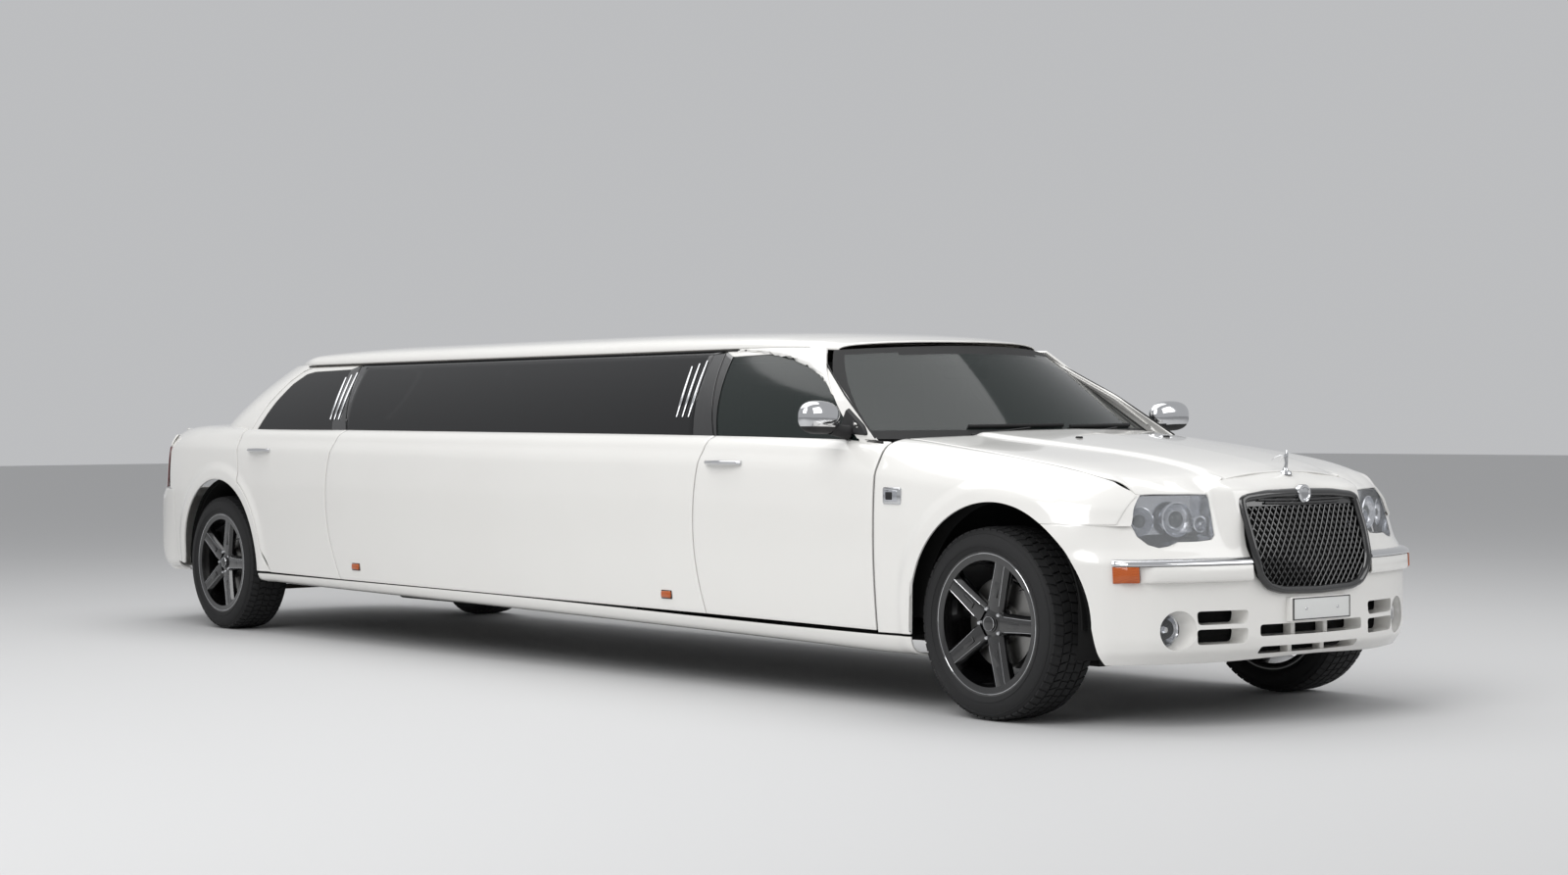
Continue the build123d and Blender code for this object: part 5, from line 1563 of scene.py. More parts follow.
    # Rear pillar between the door and the rear window
    pillarBack = []
    for z in np.linspace(1.10, cantTop, 12):
        y = 0.6
        x = atRear(-0.40)
        for _ in range(20):
            y = float(houseHalf(x, z)) - 0.004
            x = float(backX(y - 0.02, z))
        pillarBack.append((x, z))
    front = [(atRear(0.238) - gap, beltZ(atRear(0.238)))] + [(x - gap, z + gap) for x, z in rearDoorBack[1:]]
    front[-1] = (atRear(0.54), doorTop + gap)
    front.append((atRear(0.56), cantTop))
    foot = [(x, float(beltAt(x)) - 0.012) for x in np.linspace(front[0][0], pillarBack[0][0], 12)]
    front[0], pillarBack[0] = foot[0], foot[-1]
    piece("rearPillar", foot, line(front[-1], pillarBack[-1]), front, pillarBack, paint, "body", "paint",
          across=40, up=40, thick=0.010)
    # Windscreen pillar
    pillarFront = []
    for z in np.linspace(1.055, 1.426, 12):
        x = atFront(-0.9)
        for _ in range(20):
            y = float(houseHalf(x, z)) - 0.004
            x = float(screenX(y - 0.02, z))
        pillarFront.append((x, z))
    back = [(atFront(x) + gap, z + gap) for x, z in frontShut] + [(atFront(-1.925), doorTop + gap)]
    back[0] = (atFront(-0.672), 1.050)
    piece("screenPillar", line(back[0], pillarFront[0]), line(back[-1], pillarFront[-1]), back, pillarFront,
          paint, "body", "paint", "screen_frame", across=14, up=60, thick=0.010)
    # Bright moulding along the foot of the windows
    for name, body, x0, x1 in (("beltFront", "door_front_{}", atFront(-1.696), atFront(-0.70)),
                               ("beltStretch", "body", atRear(1.31), atFront(-1.708)),
                               ("beltRear", "door_rear_{}", atRear(0.245), atRear(1.295))):
        low = [(x, beltZ(x) - 0.010) for x in np.linspace(x0, x1, 30)]
        high = [(x, beltZ(x) + 0.014) for x in np.linspace(x0, x1, 30)]
        piece(name, low, high, line(low[0], high[0]), line(low[-1], high[-1]), coat["chrome"], body, "chrome",
              across=70, up=6, proud=0.007, thick=0.010, bevel=0.003)
    # Gutter strip above the windows
    xs = np.linspace(atRear(0.50), atFront(-1.36), 60)
    path = [(x, -float(houseHalf(x, doorTop)) - 0.002, doorTop + 0.003) for x in xs]
    path += [(atFront(x), -float(houseHalf(atFront(x), z)) - 0.002, z + 0.004) for x, z in frontShut[2::-1]]
    bothWays("gutter", tube("gutter", path, 0.0035, coat["seal"], 8), "body", "trim_black")
    # Three slanted chrome bars at each end of the long window
    for name, x0, place, lean in (("barsFront", -1.935, atFront, -0.075),
                                  ("barsRear", 1.167, atRear, -0.085)):
        bars = []
        for k in range(3):
            base = x0 - k * 0.042
            path = []
            for f in np.linspace(0, 1, 13):
                z = 1.145 + (0.245 - 0.012 * k) * f
                x = place(base + lean * f) + 0.012 * 4 * f * (1 - f)
                path.append((x, -float(houseHalf(x, z)) - 0.006, z))
            sizes = [0.0075 * (0.35 + 0.65 * math.sin(math.pi * min(max(f, 0.06), 0.94)) ** 0.5)
                     for f in np.linspace(0, 1, 13)]
            bars.append(tube("bar", path, sizes, coat["chrome"], 10, flat=0.7))
        bothWays(name, joinPieces(name, bars), "body", "chrome")


def makeScreens():
    for name, surface, z0, z1, inset, glass, node in (
            ("windscreenGlass", screenX, 1.052, 1.430, 0.020, "clearGlass", "windscreen"),
            ("rearWindowGlass", backX, 1.100, 1.436, 0.022, "darkGlass", "rear_window")):
        rows, columns = 34, 61
        v = np.linspace(0, 1, rows)[:, None]
        u = np.linspace(-1, 1, columns)[None, :]
        # Extra columns near the edges carry the black printed border
        u = np.sign(u) * np.abs(u) ** 0.92
        z = z0 + (z1 - z0) * v
        wide = np.full_like(z, 0.7)
        for _ in range(30):
            wide = houseHalf(surface(wide - 0.02, z), z) - inset
        y = wide * u
        z = z + 0.010 * v * (1 - 2 * u**2)
        points = np.stack([surface(y, z), y, z], axis=-1)
        screen = panel(name, points, [finish[glass], finish["seal"]], 0.005, 0,
                       outward="x" if node == "windscreen" else "-x")
        for face in screen.data.polygons:
            c = face.center
            k = (c.z - z0) / (z1 - z0)
            reach = abs(c.y) / float(np.interp(c.z, z[:, 0], wide[:, 0]))
            face.material_index = 1 if (reach > 0.945 or k < 0.10 or k > 0.93) else 0
        settle(screen, "body", "clear_glass" if node == "windscreen" else "dark_glass", node)


def makeRoof():
    rows, columns = 34, 130
    x = np.linspace(float(backX(0, 1.446)), float(screenX(0, 1.446)), columns)[None, :] * np.ones((rows, 1))
    v = np.linspace(0, 1, rows)[:, None] * np.ones((1, columns))
    half = roofSkin(x, v)
    # The ends follow the bows of both screens
    y = np.abs(half[..., 1])
    span = (x - x[0, 0]) / (x[0, -1] - x[0, 0])
    ahead, behind = screenX(y, 1.436) - screenX(0, 1.436), backX(y, 1.440) - backX(0, 1.440)
    half[..., 0] = x + ahead * smooth(0.80, 1.0, span) + behind * (1 - smooth(0.0, 0.15, span))
    whole = np.concatenate([half, half[-2::-1] * np.array([1, -1, 1])])
    roof = panel("roofSkin", whole, coat["paint"], 0.006, 0.002, outward="z")
    settle(roof, "body", "paint", "roof_panel")
    lining = whole[2:-2, 3:-3:2] - np.array([0, 0, 0.028])
    settle(panel("headlining", lining, coat["lining"], 0.003, 0, outward="z"), "body", "carpet")


makeQuarters()
makeTail()
makeBootLid()
makeTailLamps()
print("rear end made")
makeGlasshouse()
makeScreens()
makeRoof()
print("glasshouse made")


# Wheels and tyres, built about the wheel centre of the right hand side, outer face towards -Y

rimRadius = 0.258


def makeTyre():
    # Carcass in the round, then tread blocks repeated by a node tree
    half = [(rimRadius - 0.002, 0.098), (rimRadius + 0.012, 0.111), (rimRadius + 0.020, 0.1145),
            (rimRadius + 0.030, 0.1215), (0.300, 0.1235), (0.318, 0.1215), (0.333, 0.1165), (0.344, 0.110),
            (0.3515, 0.1015), (0.356, 0.090), (0.3575, 0.070), (0.3580, 0.0)]
    profile = half + [(r, -w) for r, w in half[-2::-1]]
    carcass = turned("tyreCarcass", profile, coat["tyre"], (0, 0, 0), "y", 96)
    # One pitch of the tread: ribs with slanted cuts, as a low block
    blocks = []
    for y0, y1, slant in ((-0.104, -0.066, 0.010), (-0.058, -0.024, -0.008), (-0.016, 0.016, 0.006),
                          (0.024, 0.058, 0.008), (0.066, 0.104, -0.010)):
        outer = [0.3635 - 0.9 * max(0.0, abs(y) - 0.062) ** 1.55 for y in (y0, y1)]
        inner = [r - 0.0065 for r in outer]
        span = math.radians(360 / 60 * 0.80)
        verts = []
        for r0, r1, yy, shift in ((inner[0], outer[0], y0, 0.0), (inner[1], outer[1], y1, slant)):
            for a in (-span / 2, span / 2):
                turn = a + shift / 0.36
                for r in (r0, r1):
                    verts.append((r * math.sin(turn), yy, r * math.cos(turn)))
        faces = [(0, 1, 3, 2), (4, 6, 7, 5), (0, 2, 6, 4), (1, 5, 7, 3), (0, 4, 5, 1), (2, 3, 7, 6)]
        blocks.append(cleanMesh(makeObject("treadBlock", verts, faces, coat["tyre"])))
    pitch = joinPieces("treadPitch", blocks)
    tread = repeatAbout(pitch, "tread", 60, finish["tyre"])
    shade(tread, 30)
    # Raised rings on the sidewall
    parts = [carcass, tread]
    for radius, w in ((0.292, 0.1232), (0.338, 0.1148)):
        for side in (-1, 1):
            parts.append(turned("sideRing", [(radius - 0.002, side * w), (radius, side * (w + 0.0016)),
                                             (radius + 0.002, side * w)], coat["tyre"], (0, 0, 0), "y", 96))
    return joinPieces("tyre", parts)


def repeatAbout(unit, name, copies, material):
    # Node tree that sets copies of a unit round the wheel's axle
    tree = bpy.data.node_groups.new(name + "Ring", "GeometryNodeTree")
    tree.interface.new_socket("Geometry", in_out="INPUT", socket_type="NodeSocketGeometry")
    count = tree.interface.new_socket("Copies", in_out="INPUT", socket_type="NodeSocketInt")
    tree.interface.new_socket("Geometry", in_out="OUTPUT", socket_type="NodeSocketGeometry")
    entry, leave = tree.nodes.new("NodeGroupInput"), tree.nodes.new("NodeGroupOutput")
    points = addNode(tree, "GeometryNodeMeshLine", Count=entry.outputs["Copies"])
    points.inputs["Offset"].default_value = (0, 0, 0)
    index = addNode(tree, "GeometryNodeInputIndex")
    share = addNode(tree, "ShaderNodeMath", {"operation": "DIVIDE"}, i0=index.outputs[0],
                    i1=entry.outputs["Copies"])
    turn = addNode(tree, "ShaderNodeMath", {"operation": "MULTIPLY"}, i0=share.outputs[0], i1=2 * math.pi)
    vector = addNode(tree, "ShaderNodeCombineXYZ", Y=turn.outputs[0])
    copied = addNode(tree, "GeometryNodeInstanceOnPoints", Points=points.outputs[0],
                     Instance=entry.outputs["Geometry"],
                     Rotation=vector.outputs[0])
    real = addNode(tree, "GeometryNodeRealizeInstances", Geometry=copied.outputs[0])
    coated = addNode(tree, "GeometryNodeSetMaterial", Geometry=real.outputs[0], Material=material)
    tree.links.new(coated.outputs[0], leave.inputs[0])
    modifier = unit.modifiers.new(name, "NODES")
    modifier.node_group = tree
    modifier[count.identifier] = copies
    unit.update_tag()
    applyModifiers(unit)
    unit.name = name
    return unit


def makeWheel():
    black, bright = coat["black"], coat["chrome"]
    half = 0.112
    barrel = [(0.238, -half + 0.004), (0.262, -half), (0.2715, -half), (0.2725, -half + 0.004),
              (0.2715, -half + 0.009),
              (0.258, -half + 0.012), (0.2545, -half + 0.024), (0.2545, half - 0.02), (0.262, half - 0.008),
              (0.271, half - 0.006), (0.271, half), (0.262, half), (0.244, half - 0.006), (0.243, 0.02),
              (0.236, -0.05), (0.240, -0.092), (0.238, -half + 0.004)]
    parts = [turned("barrel", barrel, black, (0, 0, 0), "y", 96)]
    parts.append(turned("lipLine", [(0.2626, -half - 0.0002), (0.2640, -half - 0.0010),
                                    (0.2654, -half - 0.0002)],
                        bright, (0, 0, 0), "y", 96))
    # A broad spoke with a raised face and sunk flanks, then four more
    spokes = []
    rows = [(0.050, 0.031, 0.043, -0.090), (0.080, 0.029, 0.042, -0.094), (0.130, 0.027, 0.040, -0.098),
            (0.180, 0.025, 0.039, -0.102), (0.225, 0.024, 0.040, -0.106), (0.246, 0.025, 0.044, -0.107)]
    verts = []
    for r, flat, wide, face in rows:
        verts += [(-wide, -0.062, r), (-wide, face + 0.016, r), (-flat - 0.003, face + 0.004, r),
                  (-flat, face, r),
                  (flat, face, r), (flat + 0.003, face + 0.004, r), (wide, face + 0.016, r),
                  (wide, -0.062, r)]
    faces = gridFaces(len(rows), 8)
    faces += [(8 * k, 8 * k + 8, 8 * k + 15, 8 * k + 7) for k in range(len(rows) - 1)]
    spoke = makeObject("spoke", verts, faces, black)
    cleanMesh(spoke)
    addModifier(spoke, "BEVEL", width=0.0015, segments=2, limit_method="ANGLE", angle_limit=math.radians(25))
    applyModifiers(spoke)
    shade(spoke, 40)
    edges = []
    for side in (-1, 1):
        path = [(side * (flat - 0.0004), face - 0.0004, r) for r, flat, wide, face in rows[1:]]
        edges.append(tube("spokeLine", path, 0.0011, bright, 6))
    # Sunk panel between the two bright lines
    groove = slab("groove", (-0.012, -0.1008, 0.105), (0.012, -0.0965, 0.215), 0.002, black)
    unit = joinPieces("spokeUnit", [spoke, groove] + edges)
    for n in range(5):
        copy = linked("spoke", unit.data.copy())
        turnPiece(copy, Matrix.Rotation(math.radians(n * 72 + 18), 4, "Y"))
        spokes.append(copy)
    discard(unit)
    parts += spokes
    hub = [(0.0, -0.092), (0.030, -0.092), (0.034, -0.090), (0.0345, -0.086), (0.060, -0.084),
           (0.072, -0.078),
           (0.078, -0.066), (0.078, -0.030), (0.0, -0.030)]
    parts.append(turned("hub", hub, black, (0, 0, 0), "y", 64))
    cap = [(0.0, -0.101), (0.018, -0.1005), (0.0265, -0.099), (0.0285, -0.096), (0.029, -0.090)]
    parts.append(turned("bareCap", cap, black, (0, 0, 0), "y", 48))
    parts.append(turned("capLine", [(0.0265, -0.0993), (0.0275, -0.0997), (0.0285, -0.0978)], bright,
                        (0, 0, 0), "y", 48))
    for n in range(5):
        a = math.radians(n * 72 + 54)
        place = (0.0575 * math.sin(a), -0.084, 0.0575 * math.cos(a))
        well = turned("nutWell", [(0.0125, 0.0), (0.0135, -0.0012), (0.0145, 0.0)], black, place, "y", 24)
        nut = turned("lugNut", [(0.0, -0.014), (0.006, -0.0135), (0.0088, -0.011), (0.0096, 0.0)],
                     bright, place, "y", 6)
        parts += [well, nut]
    valve = tube("valve", [(0.0, -0.100, 0.232), (0.0, -0.118, 0.226)], 0.0028, coat["seal"], 8)
    parts.append(turnPiece(valve, Matrix.Rotation(math.radians(54), 4, "Y")))
    return joinPieces("wheel", parts)


def makeBrakes():
    # Vented disc with a bell: it turns with the wheel
    disc = [(0.070, -0.050), (0.082, -0.046), (0.088, -0.030), (0.168, -0.030), (0.170, -0.029),
            (0.170, -0.020),
            (0.164, -0.018), (0.164, -0.010), (0.170, -0.008), (0.170, 0.001), (0.088, 0.002),
            (0.070, -0.010)]
    return turned("brakeDisc", disc, coat["brake"], (0, 0, 0), "y", 80)


def makeWheels():
    tyre, wheel, disc = makeTyre(), makeWheel(), makeBrakes()
    for end, x in (("front", frontAxle), ("rear", rearAxle)):
        for side, sign in (("right", -1), ("left", 1)):
            for source, node, slotName, label in ((tyre, "tyre", "tyre", "Tyre"),
                                                  (wheel, "wheel", "wheel", "Wheel"),
                                                  (disc, None, "steel", "BrakeDisc")):
                mesh = source.data.copy()
                if sign > 0:
                    mesh.transform(Matrix.Diagonal((1, -1, 1, 1)))
                    mesh.flip_normals()
                mesh.transform(Matrix.Translation((x, sign * wheelHalf, axleHeight)))
                name = end + side.title() + label
                mesh.name = name
                piece = linked(name, mesh)
                settle(piece, "wheel_" + end + "_" + side, slotName)
                if node:
                    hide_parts(node + "_" + end + "_" + side)
            # Calliper, fixed to the knuckle at the front and to the body at the rear
            astern = 0 if end == "front" else 180
            cal = []
            for a0 in (-24, 0, 24):
                a = math.radians(astern + a0)
                cx, cz = x + 0.138 * math.cos(a), axleHeight + 0.138 * math.sin(a)
                cal.append(slab("calliper", (cx - 0.034, sign * (wheelHalf - 0.038) - 0.034, cz - 0.034),
                                (cx + 0.034, sign * (wheelHalf - 0.038) + 0.026, cz + 0.034), 0.010,
                                coat["iron"]))
            body = "knuckle_" + side if end == "front" else "body"
            settle(joinPieces(end + side.title() + "Calliper", cal), body, "iron")
    for source in (tyre, wheel, disc):
        discard(source)


# Mirrors, handles, lamps on the sides, wipers, ornament and scuttle

def makeMirror():
    # Chrome shell, dark lower part, glass and foot
    work = bmesh.new()
    bmesh.ops.create_uvsphere(work, u_segments=48, v_segments=32, radius=1)
    for vert in work.verts:
        x, y, z = vert.co
        x = math.copysign(abs(x) ** 0.80, x) * (0.052 if x > 0 else 0.030)
        y = math.copysign(abs(y) ** 0.72, y) * 0.106
        z = math.copysign(abs(z) ** 0.80, z) * 0.066
        z -= 0.10 * y * (1 if y > 0 else 0.2) * 0.5
        vert.co = Vector((x, y, z))
    bmesh.ops.bisect_plane(work, geom=[*work.verts, *work.edges, *work.faces],
                           plane_co=(-0.020, 0, 0), plane_no=(-1, 0, 0), clear_outer=True)
    edge = [e for e in work.edges if e.is_boundary]
    bmesh.ops.holes_fill(work, edges=edge, sides=400)
    shell = fromWork("mirrorShell", work, [finish["chrome"], finish["plastic"]])
    for face in shell.data.polygons:
        face.material_index = 1 if face.center.z < -0.036 or face.normal.x < -0.9 else 0
    shade(shell, 40)
    glassLine = [(0.092 * math.copysign(abs(math.cos(a)) ** 0.7, math.cos(a)),
                  0.053 * math.copysign(abs(math.sin(a)) ** 0.75, math.sin(a)))
                 for a in np.linspace(0, 2 * math.pi, 49)[:-1]]
    glass = outlinePanel("mirrorGlass", glassLine, lambda y, z: y * 0 - 0.0215, coat["silver"], 0.002, 0.05)
    shell = joinPieces("mirror", [shell, glass])
    turnPiece(shell, Matrix.Translation((atFront(-0.852), -1.010, 1.140)) @ Matrix.Rotation(math.radians(6),
                                                                                            4, "Z"))
    arm = tube("mirrorArm", [(atFront(-0.845), -0.950, 1.098), (atFront(-0.842), -0.905, 1.084),
                             (atFront(-0.840), -0.868, 1.078)], [0.024, 0.021, 0.026], coat["plastic"], 16,
                             flat=1.2)
    sail = []
    flat = [(atFront(-0.905), 1.078), (atFront(-0.725), 1.066), (atFront(-0.760), 1.106),
            (atFront(-0.905), 1.182)]
    corner = roundedOutline(flat, 0.02)
    for depth in (0.0, 0.012):
        sail.append([(x, -float(houseHalf(x, z)) - 0.001 - depth, z) for x, z in grown(corner, -depth * 0.6)])
    count = len(corner)
    verts = [p for r in sail for p in r]
    foot = makeObject("mirrorSail", verts, gridFaces(2, count, closed=True)
                      + [tuple(range(count, 2 * count))],
                      coat["plastic"])
    shade(cleanMesh(foot), 40)
    return joinPieces("mirror", [shell, arm, foot])


def makeHandle(x0, x1, z):
    # Chrome bar, bowed outwards on two feet
    parts = []
    xs = np.linspace(x0, x1, 15)
    y = np.array([sideY(x, z) for x in xs])
    lift = 0.020 * np.sin(np.linspace(0.0, math.pi, 15)) ** 0.45 + 0.004
    path = [(x, yy - k, z) for x, yy, k in zip(xs, y, lift)]
    sizes = [0.012 + 0.005 * math.sin(math.pi * k / 14) for k in range(15)]
    parts.append(tube("handleBar", path, sizes, coat["chrome"], 16, flat=0.62))
    for x in (x0 + 0.012, x1 - 0.012):
        yy = sideY(x, z)
        parts.append(slab("handleFoot", (x - 0.014, yy - 0.016, z - 0.009),
                          (x + 0.014, yy + 0.004, z + 0.009),
                          0.004, coat["chrome"]))
    return joinPieces("handle", parts)


def makeSideDetails():
    bothWays("mirror", makeMirror(), "door_front_{}", "chrome", "mirror_{}")
    bothWays("frontHandle", makeHandle(atFront(-1.672), atFront(-1.440), 0.954), "door_front_{}", "chrome")
    bothWays("rearHandle", makeHandle(atFront(-5.712), atFront(-5.488), 0.985), "door_rear_{}", "chrome")
    # Square side lamp with a bright bezel on the fender
    x0, x1, z0, z1 = atFront(-0.545), atFront(-0.440), 0.800, 0.868
    y = sideY((x0 + x1) / 2, 0.834)
    bezel = slab("bezel", (x0, y - 0.009, z0), (x1, y + 0.010, z1), 0.009, coat["chrome"], 4)
    glass = slab("lampGlass", (x0 + 0.014, y - 0.012, z0 + 0.012), (x1 - 0.014, y + 0.006, z1 - 0.012), 0.005,
                 coat["silver"], 3)
    cell = slab("lampCell", (x0 + 0.024, y - 0.0135, z0 + 0.018), (x1 - 0.040, y + 0.004, z1 - 0.018), 0.004,
                coat["plastic"], 2)
    bothWays("fenderLamp", joinPieces("fenderLamp", [bezel, glass, cell]), "body", "chrome")
    parts = []
    for mid, z in ((atFront(-4.605), 0.399), (atFront(-1.971), 0.383)):
        y = sideY(mid, z)
        parts.append(slab("repeater", (mid - 0.034, y - 0.010, z - 0.015),
                          (mid + 0.034, y + 0.006, z + 0.015), 0.007,
                          coat["amber"], 3))
        parts.append(slab("repeaterFoot", (mid - 0.038, y - 0.003, z - 0.019),
                          (mid + 0.038, y + 0.005, z + 0.019),
                          0.003, coat["plastic"], 2))
    bothWays("repeaters", joinPieces("repeaters", parts), "body", "tail_lamp")


def makeScuttle():
    # Black grille panel between the hood and the windscreen
    rows, columns = 12, 90
    u = np.linspace(-1, 1, columns)[None, :] * np.ones((rows, 1))
    v = np.linspace(0, 1, rows)[:, None] * np.ones((1, columns))
    y = 0.780 * u
    front = atFront(-0.424 - 0.158 * u**2)
    back = screenX(y, 1.062) + 0.012
    x = front + (back - front) * v
    z = 1.020 + 0.030 * v - 0.018 * u**2 + 0.012 * np.sin(v * math.pi)
    z = np.minimum(z, 1.052)
    plate = panel("scuttle", np.stack([x, y, z], axis=-1), coat["plastic"], 0.004, 0, outward="z")
    parts = [plate]
    for yy in np.linspace(-0.62, 0.62, 56):
        k = (yy / 0.780) ** 2
        x0, x1 = atFront(-0.432 - 0.158 * k), float(screenX(yy, 1.062)) + 0.02
        parts.append(slab("scuttleRib", (x1 + 0.006, yy - 0.003, 1.030 - 0.018 * k),
                          (max(x0 - 0.012, x1 + 0.02), yy + 0.003, 1.047 - 0.016 * k), 0.001, coat["plastic"],
                          1))
    settle(joinPieces("scuttle", parts), "body", "trim_black", "cowl")
    # Wipers parked along the foot of the windscreen
    arms = []
    for y0, y1, z1 in ((-0.430, 0.060, 1.100), (0.080, 0.620, 1.098)):
        pivot = (float(screenX(y0, 1.062)) + 0.040, y0, 1.052)
        arms.append(turned("pivot", [(0.0, 0.016), (0.010, 0.014), (0.013, 0.006), (0.013, -0.02)],
                           coat["plastic"], pivot, "z", 24))
        ys = np.linspace(y0, y1 - 0.22, 12)
        path = [(float(screenX(yy, z1 - 0.022)) + 0.030 - 0.008 * k, yy, 1.066 + (z1 - 1.072) * k)
                for k, yy in zip(np.linspace(0, 1, 12), ys)]
        arms.append(tube("wiperArm", path, [0.009 - 0.0035 * k for k in np.linspace(0, 1, 12)],
                         coat["plastic"], 8, flat=0.6))
        ys = np.linspace(y0 + 0.02, y1, 16)
        path = [(float(screenX(yy, z1)) + 0.010, yy, z1 + 0.004 * k) for k,
                yy in zip(np.linspace(0, 1, 16), ys)]
        arms.append(tube("wiperBlade", path, 0.0055, coat["seal"], 8, flat=1.5))
    settle(joinPieces("wiperSet", arms), "body", "trim_black", "wipers")
    # Washer nozzles on the hood
    for y, side in ((-0.25, "Right"), (0.25, "Left")):
        spot = topSkin(np.array(atFront(-0.16)), np.array(y))
        nozzle = slab("washer" + side, (spot[0] - 0.014, y - 0.010, spot[2] - 0.004),
                      (spot[0] + 0.012, y + 0.010, spot[2] + 0.007), 0.004, coat["plastic"])
        settle(nozzle, "hood", "trim_black")


def makeOrnament():
    # A plain standing fin with swept wings on a stepped foot
    base = (atFront(0.672), 0.0, 0.9195)
    parts = [turned("ornamentFoot", [(0.0, 0.024), (0.007, 0.023), (0.010, 0.017), (0.011, 0.012),
                                     (0.020, 0.009),
                                     (0.024, 0.004), (0.025, -0.004)], coat["chrome"], base, "z", 40)]
    x, z = base[0], base[2]
    parts.append(tube("ornamentBody", [(x, 0, z + 0.018), (x + 0.004, 0, z + 0.040),
                                       (x + 0.002, 0, z + 0.060),
                                       (x + 0.008, 0, z + 0.076), (x + 0.006, 0, z + 0.088)],
                      [0.008, 0.0065, 0.0085, 0.0055, 0.0025], coat["chrome"], 16))
    for side in (-1, 1):
        parts.append(tube("ornamentWing", [(x + 0.002, 0, z + 0.064), (x - 0.014, side * 0.012, z + 0.068),
                                           (x - 0.034, side * 0.020, z + 0.060),
                                           (x - 0.048, side * 0.024, z + 0.046)],
                          [0.005, 0.006, 0.004, 0.0012], coat["chrome"], 10, flat=0.5))
    settle(joinPieces("ornament", parts), "body", "chrome", "hood_ornament")


# Cabin: seats, wheel, dashboard, bar and the linings of the doors

def cushion(name, low, high, material, puff=0.012, channels=0, along="y", radius=0.035):
    # A stuffed form from a box: crowned faces and stitched channels
    work = bmesh.new()
    bmesh.ops.create_cube(work, size=1)
    size, middle = Vector(high) - Vector(low), (Vector(high) + Vector(low)) / 2
    bmesh.ops.scale(work, verts=work.verts, vec=size)
    bmesh.ops.bevel(work, geom=list(work.edges), offset=min(radius, min(size) * 0.3), segments=4, profile=0.5,
                    affect="EDGES")
    for axis in range(3):
        for k in range(1, 24 if size[axis] > 0.3 else 8):
            at = -size[axis] / 2 + size[axis] * k / (24 if size[axis] > 0.3 else 8)
            sliceAcross(work, axis, at)
    run = "xyz".index(along)
    for vert in work.verts:
        share = [vert.co[k] / (size[k] / 2) for k in range(3)]
        for k in range(3):
            others = [share[m] for m in range(3) if m != k]
            crown = (1 - others[0] ** 2) * (1 - others[1] ** 2)
            vert.co[k] += math.copysign(puff, share[k]) * abs(share[k]) ** 3 * crown
            if channels and k != run:
                wave = abs(math.sin(math.pi * channels * (share[run] + 1) / 2)) ** 0.35
                depth = math.copysign(puff * 0.6, share[k]) * abs(share[k]) ** 3
                vert.co[k] -= depth * (1 - wave) * min(1, crown * 3)
    bmesh.ops.translate(work, verts=work.verts, vec=middle)
    return shade(fromWork(name, work, [material]), 60)


def makeSeats():
    leather = finish["leather"]
    seats = []
    for y in (-0.385, 0.385):
        seats.append(cushion("seatCushion", (atFront(-1.76), y - 0.25, 0.36),
                             (atFront(-1.22), y + 0.25, 0.54),
                             leather, 0.012, 5, "y"))
        rest = cushion("seatRest", (-0.07, y - 0.235, 0.02), (0.07, y + 0.235, 0.62), leather, 0.012, 5, "y")
        lean = Matrix.Translation((atFront(-1.80), 0, 0.50)) @ Matrix.Rotation(math.radians(-14), 4, "Y")
        seats.append(turnPiece(rest, lean))
        seats.append(cushion("headRest", (atFront(-1.99), y - 0.13, 1.115), (atFront(-1.90), y + 0.13, 1.285),
                             leather, 0.008))
        for dy in (-0.06, 0.06):
            seats.append(tube("headPost", [(atFront(-1.95), y + dy, 1.06), (atFront(-1.945), y + dy, 1.13)],
                              0.006,
                              coat["chrome"], 8))
        seats.append(slab("seatBase", (atFront(-1.70), y - 0.20, 0.286), (atFront(-1.30), y + 0.20, 0.37),
                          0.01,
                          coat["plastic"]))
    front = joinPieces("frontSeatPair", seats)
    settle(front, "body", "leather", "front_seats")
    parts = [cushion("benchCushion", (atRear(0.165), -0.595, 0.378), (atRear(0.655), 0.595, 0.60), leather,
                     0.012, 9, "y"),
             cushion("benchRest", (atRear(-0.118), -0.595, 0.522), (atRear(0.215), 0.595, 1.075), leather,
                     0.012, 9, "y")]
    x = atRear(1.405)
    while x < atFront(-2.32) - 0.10:
        stop = min(x + 0.56, atFront(-2.302))
        parts.append(cushion("sideCushion", (x + 0.004, 0.305, 0.30), (stop - 0.004, 0.70, 0.598), leather,
                             0.010, 3, "x"))
        parts.append(cushion("sideRest", (x + 0.004, 0.655, 0.58), (stop - 0.004, 0.768, 1.036), leather,
                             0.010, 3, "x"))
        x = stop
    lounge = joinPieces("loungeSeating", parts)
    settle(lounge, "body", "leather", "lounge_seats")


